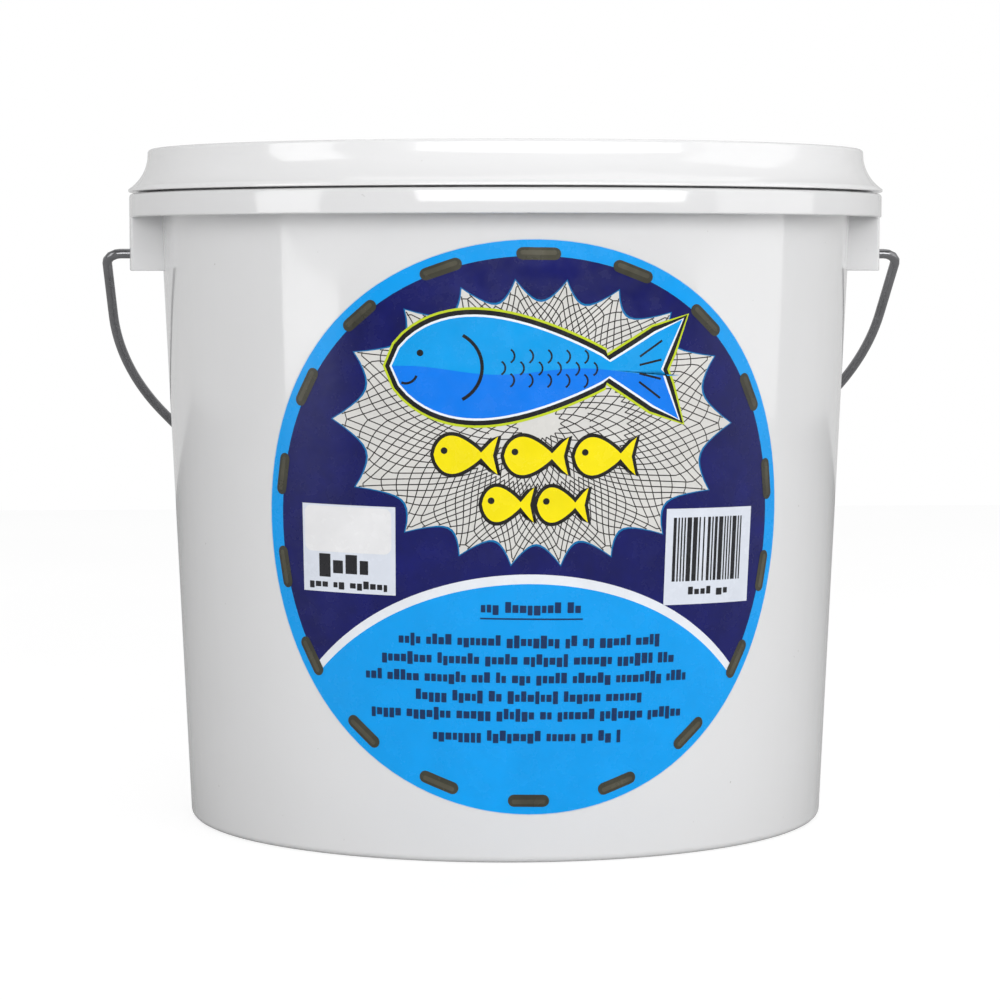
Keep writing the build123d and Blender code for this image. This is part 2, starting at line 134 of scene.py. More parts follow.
def make_light():
    """A white backdrop all round, a room that is dimmer in front, and soft boxes on four sides."""
    bpy.context.scene.view_settings.view_transform = "Standard"
    world = bpy.data.worlds.new("studio")
    bpy.context.scene.world = world
    world.use_nodes = True
    tree = world.node_tree
    background = tree.nodes["Background"]
    place = tree.nodes.new("ShaderNodeTexCoord")
    split = tree.nodes.new("ShaderNodeSeparateXYZ")
    tree.links.new(place.outputs["Generated"], split.inputs["Vector"])
    span = range_node(tree, split.outputs["Y"], 0.32, 0.62, -0.15, 0.45)
    tree.links.new(span.outputs["Result"], background.inputs["Color"])
    background.inputs["Strength"].default_value = 1.0
    backdrop = tree.nodes.new("ShaderNodeBackground")
    backdrop.inputs["Color"].default_value = (1.0, 1.0, 1.0, 1.0)
    split_camera_rays(tree, background.outputs[0], backdrop.outputs[0], tree.nodes["World Output"])
    softbox("softbox_right", 82.0, 1.5, 0.42, (1.06, 1.75), 5.4)
    softbox("softbox_left", -65.0, 1.5, 0.53, (0.62, 1.2), 4.6)
    softbox("front_fill", 14.0, 2.0, 0.68, (3.4, 0.9), 35.0)
    softbox("top_light", 160.0, 0.5, 1.7, (1.5, 1.2), 3.5)


def split_camera_rays(tree, for_light, for_camera, output):
    """Gives the camera one shader and every other ray another."""
    rays = tree.nodes.new("ShaderNodeLightPath")
    pick = tree.nodes.new("ShaderNodeMixShader")
    tree.links.new(rays.outputs["Is Camera Ray"], pick.inputs["Fac"])
    tree.links.new(for_light, pick.inputs[1])
    tree.links.new(for_camera, pick.inputs[2])
    tree.links.new(pick.outputs["Shader"], output.inputs["Surface"])


def softbox(name, side, distance, height, size, power):
    """A white soft box at an angle to the right of the camera, facing the pail's middle."""
    light = bpy.data.lights.new(name, "AREA")
    light.shape = "RECTANGLE"
    light.size, light.size_y = size
    light.energy = power
    holder = placed(name, light)
    turn = CAMERA_AZIMUTH + math.radians(side)
    holder.location = (distance * math.sin(turn), -distance * math.cos(turn), height)
    holder.rotation_euler = (Vector((0, 0, 0.13)) - holder.location).to_track_quat("-Z", "Y").to_euler()


def make_floor():
    """A plain pale table top, level under the pail."""
    half_width, front, back = 1.5, -0.9, 1.5
    verts = [(x, y, -0.0002) for x, y in
             ((-half_width, front), (half_width, front), (half_width, back), (-half_width, back))]
    mesh_object("studio_floor", verts, [(0, 1, 2, 3)], paper_material())


# ================================================================ materials
def shader_tree(name):
    """A new material with its node tree, its shader and a texture coordinate node."""
    mat = bpy.data.materials.new(name)
    mat.use_nodes = True
    tree = mat.node_tree
    shader = tree.nodes["Principled BSDF"]
    place = tree.nodes.new("ShaderNodeTexCoord")
    return mat, tree, shader, place


def set_inputs(node, values):
    """Sets a node's sockets by name."""
    for socket, value in values.items():
        node.inputs[socket].default_value = value


def noise_node(tree, place, scale, detail=3.0, roughness=0.5, distortion=0.0):
    """The output of a noise in the object's own coordinates."""
    noise = tree.nodes.new("ShaderNodeTexNoise")
    set_inputs(noise, {"Scale": scale, "Detail": detail, "Roughness": roughness, "Distortion": distortion})
    tree.links.new(place.outputs["Object"], noise.inputs["Vector"])
    return noise.outputs["Fac"]


def ramp_node(tree, source, stops):
    """A colour ramp with (position, colour) stops."""
    ramp = tree.nodes.new("ShaderNodeValToRGB")
    while len(ramp.color_ramp.elements) < len(stops):
        ramp.color_ramp.elements.new(0.5)
    for element, (position, colour) in zip(ramp.color_ramp.elements, stops):
        element.position = position
        element.color = (*colour, 1.0)
    tree.links.new(source, ramp.inputs["Fac"])
    return ramp


def range_node(tree, source, low, high, from_low=0.3, from_high=0.7):
    """Stretches a source's range to low and high."""
    span = tree.nodes.new("ShaderNodeMapRange")
    set_inputs(span, {"From Min": from_low, "From Max": from_high, "To Min": low, "To Max": high})
    tree.links.new(source, span.inputs["Value"])
    return span


def shade(colour, factor):
    """The colour made darker or lighter by a factor."""
    return tuple(min(1.0, max(0.0, channel * factor)) for channel in colour)


def drift_stops(colour, darker, lighter, middle=0.55, end=0.75):
    """Ramp stops from a darker shade through the colour to a lighter one."""
    return [(0.3, shade(colour, darker)), (middle, colour), (end, shade(colour, lighter))]


def add_colour(tree, shader, source, stops):
    """Drives the base colour from a source, through a ramp."""
    ramp = ramp_node(tree, source, stops)
    tree.links.new(ramp.outputs["Color"], shader.inputs["Base Color"])
    return ramp


def add_gloss(tree, shader, source, low, high):
    """Drives the roughness from a source, between two limits."""
    span = range_node(tree, source, low, high)
    tree.links.new(span.outputs["Result"], shader.inputs["Roughness"])


def add_bump(tree, shader, source, distance, strength):
    """Drives the surface's relief from a source."""
    bump = tree.nodes.new("ShaderNodeBump")
    set_inputs(bump, {"Distance": distance, "Strength": strength})
    tree.links.new(source, bump.inputs["Height"])
    tree.links.new(bump.outputs["Normal"], shader.inputs["Normal"])


def moulded_plastic(name, colour, roughness, mottle):
    """Moulded plastic: a slow tone drift, a faint orange peel and an uneven gloss."""
    mat, tree, shader, place = shader_tree(name)
    drift = noise_node(tree, place, 14.0, 4.0, 0.6)
    add_colour(tree, shader, drift, drift_stops(colour, 1 - mottle, 1 + mottle))
    gloss = noise_node(tree, place, 55.0, 5.0, 0.65)
    add_gloss(tree, shader, gloss, roughness * 0.75, roughness * 1.35)
    peel = noise_node(tree, place, 900.0, 2.0, 0.5)
    add_bump(tree, shader, peel, 0.00004, 0.6)
    set_inputs(shader, {"IOR": 1.5})
    return mat


def pail_plastic(name, colour, roughness):
    """White polypropylene with slow waves in the wall and faint dark specks."""
    mat, tree, shader, place = shader_tree(name)
    drift = noise_node(tree, place, 9.0, 3.0, 0.5)
    ramp = ramp_node(tree, drift, drift_stops(colour, 0.975, 1.015))
    specks = noise_node(tree, place, 420.0, 2.0, 0.4)
    spots = ramp_node(tree, specks, [(0.785, (1.0, 1.0, 1.0)), (0.83, (0.62, 0.61, 0.59))])
    mix = tree.nodes.new("ShaderNodeMix")
    mix.data_type = "RGBA"
    mix.blend_type = "MULTIPLY"
    set_inputs(mix, {"Factor": 0.8})
    tree.links.new(ramp.outputs["Color"], mix.inputs["A"])
    tree.links.new(spots.outputs["Color"], mix.inputs["B"])
    tree.links.new(mix.outputs["Result"], shader.inputs["Base Color"])
    gloss = noise_node(tree, place, 38.0, 5.0, 0.65, 0.4)
    add_gloss(tree, shader, gloss, roughness * 0.7, roughness * 1.5)
    waves = noise_node(tree, place, 26.0, 2.0, 0.5, 0.3)
    add_bump(tree, shader, waves, 0.0006, 0.35)
    set_inputs(shader, {
        "IOR": 1.49, "Subsurface Weight": 0.12, "Subsurface Radius": (0.004, 0.004, 0.004),
        "Coat Weight": 0.8, "Coat Roughness": 0.045,
    })
    return mat


def ink(name, colour, mottle):
    """Printed vinyl under a clear gloss film, with faint wrinkles."""
    mat, tree, shader, place = shader_tree(name)
    drift = noise_node(tree, place, 75.0, 4.0, 0.6)
    add_colour(tree, shader, drift, drift_stops(colour, 1 - mottle, 1 + mottle))
    film = noise_node(tree, place, 140.0, 4.0, 0.6)
    add_gloss(tree, shader, film, 0.16, 0.34)
    wrinkle = noise_node(tree, place, 60.0, 3.0, 0.55, 1.2)
    add_bump(tree, shader, wrinkle, 0.00025, 0.35)
    set_inputs(shader, {"Specular IOR Level": 0.32})
    return mat


def metal(name, colour, roughness, grain_scale=(900.0, 900.0, 60.0), bump=0.00003):
    """Drawn or cast metal with fine scratches, dull patches and a rough skin."""
    mat, tree, shader, place = shader_tree(name)
    mapping = tree.nodes.new("ShaderNodeMapping")
    grain = tree.nodes.new("ShaderNodeTexNoise")
    set_inputs(shader, {"Metallic": 1.0})
    set_inputs(mapping, {"Scale": grain_scale})
    set_inputs(grain, {"Scale": 1.0, "Detail": 3.0})
    tree.links.new(place.outputs["Object"], mapping.inputs["Vector"])
    tree.links.new(mapping.outputs["Vector"], grain.inputs["Vector"])
    patches = noise_node(tree, place, 60.0, 4.0, 0.6)
    add_colour(tree, shader, patches, [(0.3, shade(colour, 0.82)), (0.6, colour)])
    add_gloss(tree, shader, grain.outputs["Fac"], roughness * 0.7, roughness * 1.5)
    add_bump(tree, shader, grain.outputs["Fac"], bump, 0.5)
    return mat


def fibre(name, colour, contrast=0.22):
    """Twisted or braided fibre: fine streaks, soft colour drift and a sheen."""
    mat, tree, shader, place = shader_tree(name)
    strands = noise_node(tree, place, 900.0, 4.0, 0.7, 0.6)
    stops = drift_stops(colour, 1 - contrast, 1 + contrast, 0.5, 0.72)
    add_colour(tree, shader, strands, stops)
    set_inputs(shader, {"Roughness": 0.8, "Sheen Weight": 0.3, "Sheen Roughness": 0.4})
    add_bump(tree, shader, strands, 0.0001, 0.6)
    return mat


def paper_material():
    """White studio paper, which glows for the camera and bounces less light on the pail."""
    mat, tree, shader, place = shader_tree("studio_paper")
    drift = noise_node(tree, place, 3.0, 3.0, 0.5)
    add_colour(tree, shader, drift, [(0.3, (0.24, 0.24, 0.24)), (0.7, (0.26, 0.26, 0.26))])
    set_inputs(shader, {
        "Roughness": 0.9, "Specular IOR Level": 0.1,
        "Emission Color": (1.0, 1.0, 1.0, 1.0), "Emission Strength": 0.82,
    })
    bounce = tree.nodes.new("ShaderNodeBsdfDiffuse")
    bounce.inputs["Color"].default_value = (0.6, 0.6, 0.6, 1.0)
    split_camera_rays(tree, bounce.outputs[0], shader.outputs[0], tree.nodes["Material Output"])
    return mat


# ================================================================ mesh helpers
def dressed(mesh, mat, smooth=True):
    """An object for a mesh, with one material, smooth all over or flat."""
    mesh.materials.append(mat)
    mesh.polygons.foreach_set("use_smooth", [smooth] * len(mesh.polygons))
    return placed(mesh.name, mesh)


def mesh_object(name, verts, faces, mat, smooth=True):
    """A new object from points and faces."""
    mesh = bpy.data.meshes.new(name)
    mesh.from_pydata([tuple(v) for v in verts], [], faces)
    mesh.update()
    return dressed(mesh, mat, smooth)


def finish_piece(obj, body, slot, *nodes):
    """Puts a piece on a body and hides the CAD nodes that it stands for; the slot is not used."""
    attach(obj, body)
    if nodes:
        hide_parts(*nodes)


def add_piece(name, data, mat, slot, *nodes):
    """A piece of the pail's body from points and faces."""
    finish_piece(mesh_object(name, *data, mat), "pail", slot, *nodes)


def polar(radius, angle, height=0.0):
    """A point at a distance from the pail's axis, in a direction."""
    return Vector((radius * math.cos(angle), radius * math.sin(angle), height))


def circled(count, point_at):
    """A point for each of a count of even angles round a full turn."""
    return [point_at(2 * math.pi * step / count) for step in range(count)]


def rounded(corners, steps=5):
    """A closed outline of (x, y) points from corners of x, y and rounding radius."""
    outline = []
    count = len(corners)
    for index, (x, y, radius) in enumerate(corners):
        here = Vector((x, y))
        before = Vector(corners[index - 1][:2])
        after = Vector(corners[(index + 1) % count][:2])
        if radius <= 0:
            outline.append((x, y))
            continue
        back, ahead = (before - here).normalized(), (after - here).normalized()
        half = back.angle(ahead) / 2
        run = radius / math.tan(half)
        centre = here + (back + ahead).normalized() * (radius / math.sin(half))
        start, end = here + back * run, here + ahead * run
        first = start - centre
        turn = first.angle_signed(end - centre)
        for step in range(steps + 1):
            angle = -turn * step / steps
            spoke = Vector((
                first.x * math.cos(angle) - first.y * math.sin(angle),
                first.x * math.sin(angle) + first.y * math.cos(angle),
            ))
            outline.append(tuple(centre + spoke))
    return outline


def grid_faces(rows, columns, close_rows=False, close_columns=False):
    """Quads over a grid of rows by columns of points, row by row."""
    faces = []
    for row in range(rows if close_rows else rows - 1):
        below = (row + 1) % rows
        for column in range(columns if close_columns else columns - 1):
            right = (column + 1) % columns
            faces.append((
                row * columns + column, row * columns + right,
                below * columns + right, below * columns + column,
            ))
    return faces


def turned_data(outline, segments, place=None):
    """Points and faces of a closed outline of (radius, height) turned about Z."""
    verts = []
    for step in range(segments):
        turn = 2 * math.pi * step / segments
        for radius, height in outline:
            point = polar(radius, turn, height)
            verts.append(place @ point if place else point)
    return verts, grid_faces(segments, len(outline), close_rows=True, close_columns=True)


def turned(name, outline, mat, segments, place=None):
    """A turned outline as a clean object."""
    obj = mesh_object(name, *turned_data(outline, segments, place), mat)
    clean(obj)
    return obj


@contextmanager
def reworked(obj):
    """Opens an object's mesh for editing and writes it back."""
    work = bmesh.new()
    work.from_mesh(obj.data)
    yield work
    work.to_mesh(obj.data)
    work.free()


def clean(obj, distance=1e-7):
    """Merges points that coincide and turns the faces outward."""
    with reworked(obj) as work:
        bmesh.ops.remove_doubles(work, verts=work.verts, dist=distance)
        bmesh.ops.dissolve_degenerate(work, dist=distance, edges=work.edges)
        bmesh.ops.recalc_face_normals(work, faces=work.faces)


def frames_along(points, closed=False):
    """A steady side and up direction at each point of a path."""
    count = len(points)
    tangents = []
    for index in range(count):
        before = points[index - 1] if closed or index else points[index]
        after = points[(index + 1) % count] if closed or index < count - 1 else points[index]
        tangents.append((after - before).normalized())
    side = tangents[0].orthogonal().normalized()
    frames = []
    for tangent in tangents:
        side = (side - tangent * side.dot(tangent)).normalized()
        frames.append((side, tangent.cross(side)))
    return frames


def tube_data(points, radius, sides=12, closed=False, relief=None):
    """Points and faces of a tube along a path; relief(length, angle) scales the radius."""
    verts, length = [], 0.0
    frames = frames_along(points, closed)
    for index, point in enumerate(points):
        if index:
            length += (point - points[index - 1]).length
        side, up = frames[index]
        for step in range(sides):
            turn = 2 * math.pi * step / sides
            reach = radius * (relief(length, turn) if relief else 1.0)
            verts.append(point + (side * math.cos(turn) + up * math.sin(turn)) * reach)
    faces = grid_faces(len(points), sides, close_rows=closed, close_columns=True)
    if not closed:
        faces.append(tuple(range(sides)))
        faces.append(tuple(len(verts) - sides + step for step in reversed(range(sides))))
    return verts, faces


def join_data(parts):
    """One list of points and faces from several."""
    verts, faces = [], []
    for part_verts, part_faces in parts:
        first = len(verts)
        verts += part_verts
        faces += [tuple(first + corner for corner in face) for face in part_faces]
    return verts, faces


def arc_path(points, radii, step=2.0 * MM):
    """Straight runs joined by tangent arcs, as closely spaced points."""
    path = [points[0]]
    for before, here, after, radius in zip(points, points[1:], points[2:], radii):
        back, ahead = (before - here).normalized(), (after - here).normalized()
        half = back.angle(ahead) / 2
        centre = here + (back + ahead).normalized() * (radius / math.sin(half))
        start, end = here + back * radius / math.tan(half), here + ahead * radius / math.tan(half)
        spread = math.pi - 2 * half
        count = max(4, int(radius * spread / step))
        run = (start - path[-1]).length
        for bit in range(1, int(run / (8 * MM))):
            path.append(path[-1].lerp(start, 1 / (int(run / (8 * MM)) - bit + 1)))
        for bit in range(count + 1):
            share = bit / count
            spoke = (start - centre).lerp(end - centre, share).normalized() * radius
            path.append(centre + spoke)
    last, run = path[-1], (points[-1] - path[-1]).length
    count = max(1, int(run / (8 * MM)))
    for bit in range(1, count + 1):
        path.append(last.lerp(points[-1], bit / count))
    return path


# ================================================================ pail
def make_pail():
    """The turned shell with its foot ring, collar and rim bead, and the two lugs."""
    shell_mat = pail_plastic("pail_white", (0.775, 0.775, 0.78), 0.10)
    foot_inner = base_radius - 6.5 * MM
    floor_low, floor_top = 3.0 * MM, 5.2 * MM
    flange_low = collar_top - collar_wall
    collar_low = collar_top - collar_depth
    bead = wall_radius(rim_height) + 1.8 * MM
    bead_low = rim_height - 3.6 * MM

    def outside(height, rounding=0):
        return wall_radius(height), height, rounding

    def inside(height, rounding=0):
        return wall_radius(height) - wall, height, rounding

    corners = [
        (0, floor_low, 0),
        (foot_inner * 0.35, floor_low, 0),
        (foot_inner, floor_low, 0.8 * MM),
        (foot_inner + 0.5 * MM, 0, 0.5 * MM),
        (base_radius, 0, 2.5 * MM),
    ]
    corners += [outside(height * MM) for height in (30, 60, 90, 120, 150, 180)]
    corners += [
        outside(flange_low, 0.8 * MM),
        (collar_radius - collar_wall, flange_low, 0.8 * MM),
        (collar_radius - collar_wall, collar_low, 0.4 * MM),
        (collar_radius, collar_low, 0.6 * MM),
        (collar_radius, collar_top, 1.2 * MM),
        outside(collar_top, 0.6 * MM),
        outside(bead_low, 0.3 * MM),
        (bead, bead_low + 1.2 * MM, 0.4 * MM),
        (bead, rim_height, 0.9 * MM),
        inside(rim_height, 0.5 * MM),
        inside(160 * MM),
        inside(80 * MM),
        inside(floor_top, 4.0 * MM),
        (foot_inner * 0.4, floor_top, 0),
        (0, floor_top, 0),
    ]
    shell = turned("pail_shell", rounded(corners), shell_mat, 240)
    finish_piece(shell, "pail", "pail_plastic", "pail_body")
    for name, side in (("bail_lug_right", 1), ("bail_lug_left", -1)):
        lug = make_lug(name, side, shell_mat, flange_low)
        finish_piece(lug, "pail", "pail_plastic", "pail_body")


def make_lug(name, side, mat, top):
    """A hollow box under the collar: a bent wall whose plan is a U."""
    half, thick = lug_width / 2, collar_wall
    root = wall_radius(lug_bottom) - 0.8 * MM

    def u_shape(half_width, outside, rounding):
        face = [(root, -half_width, 0)]
        for step in range(9):
            y = half_width * (step / 4 - 1)
            face.append((math.sqrt(outside**2 - y**2), y, rounding if step in (0, 8) else 0))
        return face + [(root, half_width, 0)]

    outer = rounded(u_shape(half, collar_radius - 0.05 * MM, 1.5 * MM))
    inner = rounded(u_shape(half - thick, collar_radius - thick, 0.8 * MM))
    plan = outer + inner[::-1]
    verts = [(side * x, y, level) for level in (lug_bottom, top + 0.3 * MM) for x, y in plan]
    count, last_outer, last_inner = len(plan), len(outer) - 1, len(inner) - 1
    faces = grid_faces(2, count, close_columns=True)
    facing = [count - 1 - round(step * last_inner / last_outer) for step in range(last_outer + 1)]
    for base in (0, count):
        for step, (near, far) in enumerate(zip(facing, facing[1:])):
            ring = [base + step, base + step + 1, base + far, base + near]
            faces.append(tuple(dict.fromkeys(ring)))
    lug = mesh_object(name, verts, faces, mat, smooth=False)
    clean(lug)
    with reworked(lug) as work:
        low_edges = [
            edge for edge in work.edges
            if all(vert.co.z < lug_bottom + 1e-6 for vert in edge.verts)
            and len(edge.link_faces) == 2
            and any(abs(face.normal.z) < 0.5 for face in edge.link_faces)
        ]
        bmesh.ops.bevel(work, geom=low_edges, offset=0.45 * MM, segments=3, profile=0.5, affect="EDGES")
        bmesh.ops.recalc_face_normals(work, faces=work.faces)
    shade_by_angle(lug)
    return lug


def shade_by_angle(obj, degrees=35):
    """Smooth shading with edges sharper than an angle kept crisp."""
    with reworked(obj) as work:
        for face in work.faces:
            face.smooth = True
        for edge in work.edges:
            if len(edge.link_faces) == 2 and edge.calc_face_angle(0) > math.radians(degrees):
                edge.smooth = False


# ================================================================ lid
def make_lid():
    """A flared skirt, a channel over the rim and a recessed panel with a raised centre."""
    mat = pail_plastic("lid_white", (0.865, 0.865, 0.87), 0.15)
    roof = lid_top - 2.0 * MM
    bead = wall_radius(rim_height) + 1.8 * MM
    crown = bead + 1.7 * MM
    skirt_low = collar_top + 0.6 * MM
    plug = wall_radius(rim_height) - wall - 0.9 * MM
    plug_inner = plug - 1.9 * MM
    panel = lid_top - 8.1 * MM
    centre = plug_inner - 22.0 * MM
    flare_high = lid_top - 1.3 * MM
    flare_low = skirt_low + 1.0 * MM
    width, height = skirt_radius - crown, flare_high - flare_low
    bend = (width**2 + height**2) / (2 * width)

    def flare(radius, z):
        return (crown + bend - math.sqrt(radius**2 - (flare_high - z) ** 2), z, 0)

    steps = 14
    outer = [flare(bend, flare_low + height * step / steps) for step in range(steps)]
    under_span = roof - skirt_low
    under = [flare(bend + 1.4 * MM, roof - under_span * step / steps) for step in range(steps + 1)]
    corners = [(skirt_radius, skirt_low, 0.4 * MM)] + outer[:-1] + [
        (crown, lid_top, 1.2 * MM),
        (plug_inner, lid_top, 1.2 * MM),
        (plug_inner, panel, 0.9 * MM),
        (centre + 2.0 * MM, panel, 0.8 * MM),
        (centre, panel + 1.5 * MM, 0.8 * MM),
        (centre * 0.5, panel + 1.5 * MM, 0),
        (0, panel + 1.5 * MM, 0),
        (0, panel - 0.5 * MM, 0),
        (centre - 1.0 * MM, panel - 0.5 * MM, 0.8 * MM),
        (centre + 1.0 * MM, panel - 2.0 * MM, 0.8 * MM),
        (plug_inner, panel - 2.0 * MM, 0),
        (plug_inner, roof - 9.1 * MM, 0.4 * MM),
        (plug, roof - 9.1 * MM, 0.7 * MM),
        (plug, roof, 0),
    ] + under
    lid = turned("lid_cover", rounded(corners), mat, 240)
    finish_piece(lid, "lid", "lid_plastic", "lid")


# ================================================================ bail
def make_bail():
    """Steel wire bent to the part's own route, hanging straight down and then swung back."""
    leg = collar_radius + 8.4 * MM
    drop = 66.5 * MM
    shoulder = leg - drop * math.tan(math.radians(2.3))
    run = 35.8 * MM
    corner = 48.0 * MM + run
    lean = math.atan2(shoulder - corner, bail_reach - drop)
    lower_bend = run / math.tan((math.pi / 2 - lean) / 2)
    right = [
        Vector((collar_radius - 4.1 * MM, 0, 0)), Vector((leg, 0, 0)),
        Vector((shoulder, 0, -drop)), Vector((corner, 0, -bail_reach)),
    ]
    left = [Vector((-p.x, p.y, p.z)) for p in reversed(right)]
    bends = [5.0 * MM, 130.0 * MM, lower_bend]
    path = arc_path(right + left, bends + bends[::-1])
    swing = Matrix.Translation((0, 0, pivot_height)) @ Matrix.Rotation(bail_angle, 4, "X")
    wire = tube_data([swing @ p for p in path], wire_radius, 20)
    head, half = 3.1 * MM, 0.8 * MM
    outline = rounded([(0, -half, 0), (head, -half, 0.5 * MM), (head, half, 0.5 * MM), (0, half, 0)])
    heads = []
    for side in (-1, 1):
        middle = Matrix.Translation((side * (collar_radius - 3.3 * MM), 0, pivot_height))
        heads.append(turned_data(outline, 32, middle @ Matrix.Rotation(math.pi / 2, 4, "Y")))
    steel = metal("bail_steel", (0.27, 0.27, 0.28), 0.2, (700.0, 700.0, 90.0), 0.00001)
    bail = mesh_object("bail_rod", *join_data([wire] + heads), steel)
    clean(bail)
    shade_by_angle(bail, 50)
    finish_piece(bail, "bail", "bail_steel", "bail_wire")


def make_grip():
    """A moulded sleeve with end flanges and rings of fine ribs."""
    half, radius = 42.0 * MM, 7.5 * MM
    bore = wire_radius + 0.05 * MM
    corners = [(bore, -half, 0.3 * MM), (radius, -half, 1.0 * MM), (radius, -half + 3.0 * MM, 0.8 * MM)]
    ribs = 13
    for rib in range(ribs):
        middle = (rib - (ribs - 1) / 2) * 5.6 * MM
        corners += [
            (radius - 1.4 * MM, middle - 1.7 * MM, 0.4 * MM),
            (radius - 0.6 * MM, middle - 1.0 * MM, 0.4 * MM),
            (radius - 0.6 * MM, middle + 1.0 * MM, 0.4 * MM),
            (radius - 1.4 * MM, middle + 1.7 * MM, 0.4 * MM),
        ]
    corners += [(radius, half - 3.0 * MM, 0.8 * MM), (radius, half, 1.0 * MM), (bore, half, 0.3 * MM)]
    place = Matrix.Translation(grip_place) @ Matrix.Rotation(math.pi / 2, 4, "Y")
    mat = moulded_plastic("grip_white", (0.80, 0.80, 0.80), 0.3, 0.03)
    grip = turned("grip_sleeve", rounded(corners, 3), mat, 64, place)
    finish_piece(grip, "grip", "grip_plastic", "bail_grip")


# ================================================================ label
TILT = math.radians(-0.8)
SHEET_LIFT = 0.12 * MM
NET_RING = 88.0         # radius that the drawn net keeps within, in label millimetres


def on_wall(u, v, lift):
    """A point of the label, u to the right and v up from its centre in metres, on the wall."""
    across = u * math.cos(TILT) - v * math.sin(TILT)
    up = u * math.sin(TILT) + v * math.cos(TILT)
    height = label_height + up
    turn = across / wall_radius(label_height)
    radius = wall_radius(height) + lift
    return Vector((radius * math.sin(turn), -radius * math.cos(turn), height))


def circle(u, v, radius, count=72, start=0.0, end=360.0):
    """Points of a circle, or of an arc from start to end in degrees, in label millimetres."""
    whole = abs(end - start) >= 360
    steps = count if whole else count - 1
    return [
        (u + radius * math.cos(math.radians(start + (end - start) * k / steps)),
         v + radius * math.sin(math.radians(start + (end - start) * k / steps)))
        for k in range(count)
    ]


def box_shape(left, low, right, high, rounding=0.0):
    """A rectangle, with rounded corners where asked."""
    corners = [(left, low, rounding), (right, low, rounding), (right, high, rounding), (left, high, rounding)]
    return rounded(corners, 4)


def capsule(u, v, angle, length, width):
    """A bar with round ends, turned to an angle in degrees."""
    half = (length - width) / 2
    ends = circle(half, 0, width / 2, 9, -90, 90) + circle(-half, 0, width / 2, 9, 90, 270)
    c, s = math.cos(math.radians(angle)), math.sin(math.radians(angle))
    return [(u + x * c - y * s, v + x * s + y * c) for x, y in ends]


def grown(shape, distance):
    """The outline moved outward by a distance, for a shape that runs anticlockwise."""
    count, result = len(shape), []
    for index in range(count):
        before, after = Vector(shape[index - 1]), Vector(shape[(index + 1) % count])
        along = (after - before).normalized()
        result.append((shape[index][0] + along.y * distance, shape[index][1] - along.x * distance))
    return result


def ribbon(points, width):
    """A thin line as quads."""
    quads = []
    for (x0, y0), (x1, y1) in zip(points, points[1:]):
        along = Vector((x1 - x0, y1 - y0)).normalized() * (width / 2)
        quads.append([(x0 + along.y, y0 - along.x), (x1 + along.y, y1 - along.x),
                      (x1 - along.y, y1 + along.x), (x0 - along.y, y0 + along.x)])
    return quads


def print_layer(name, shapes, colour, level, mottle=0.05):
    """Printed shapes on the label: cut into narrow strips so that they bend with the wall."""
    work = bmesh.new()
    strip, strip_start = 3.0, 0.37
    for shape in shapes:
        piece = bmesh.new()
        piece.faces.new([piece.verts.new((x, y, 0)) for x, y in shape])
        piece.normal_update()
        bmesh.ops.triangulate(piece, faces=piece.faces[:])
        low, high = min(x for x, y in shape), max(x for x, y in shape)
        cut = math.floor(low / strip) * strip + strip_start
        while cut < high - 0.01:
            geometry = piece.verts[:] + piece.edges[:] + piece.faces[:]
            if cut > low + 0.01:
                bmesh.ops.bisect_plane(piece, geom=geometry, plane_co=(cut, 0, 0), plane_no=(1, 0, 0))
            cut += strip
        bmesh.ops.recalc_face_normals(piece, faces=piece.faces[:])
        if piece.faces and sum(face.normal.z for face in piece.faces) < 0:
            bmesh.ops.reverse_faces(piece, faces=piece.faces[:])
        store = bpy.data.meshes.new("scratch")
        piece.to_mesh(store)
        work.from_mesh(store)
        bpy.data.meshes.remove(store)
        piece.free()
    lift = SHEET_LIFT + level * 0.02 * MM
    for vert in work.verts:
        vert.co = on_wall(vert.co.x * MM, vert.co.y * MM, lift)
    mesh = bpy.data.meshes.new(name)
    work.to_mesh(mesh)
    work.free()
    obj = dressed(mesh, ink(name + "_ink", colour, mottle))
    finish_piece(obj, "pail", "label_vinyl", "front_label")


def greek(left, right, base, height, letter=1.75, gap=0.5):
    """Rows of small unreadable blocks that stand for a line of text."""
    shapes, at, count = [], left, 0
    limit = chance.randint(3, 8)
    while at < right - letter * 0.6:
        wide = letter * chance.uniform(0.75, 1.2)
        tall = height * chance.choice((0.68, 0.68, 0.72, 1.0))
        drop = height * chance.choice((0.0, 0.0, 0.0, 0.22))
        shapes.append(box_shape(at, base - drop, min(at + wide, right), base + tall, 0.18))
        at += wide + gap
        count += 1
        if count >= limit:
            at += letter * 0.9
            count, limit = 0, chance.randint(2, 8)
    return shapes


def fish(u, v, length, height):
    """A plain fish outline, anticlockwise: a rounded body with a forked tail."""
    upper = []
    body = 0.74 * length
    steps = 26
    for step in range(steps + 1):
        t = step / steps
        x = -length / 2 + body * t
        y = height / 2 * math.sin(math.pi * t**0.72) ** 0.85 * (1 - 0.12 * t) + height * 0.07 * t
        upper.append((x, y))
    tail = [(length * 0.40, height * 0.36), (length * 0.5, height * 0.50), (length * 0.45, height * 0.18),
            (length * 0.425, 0.0)]
    top = upper + tail
    bottom = [(x, -y) for x, y in top[-2:0:-1]]
    outline = [(u + x, v + y) for x, y in top + bottom]
    if area_of(outline) < 0:
        outline.reverse()
    return outline


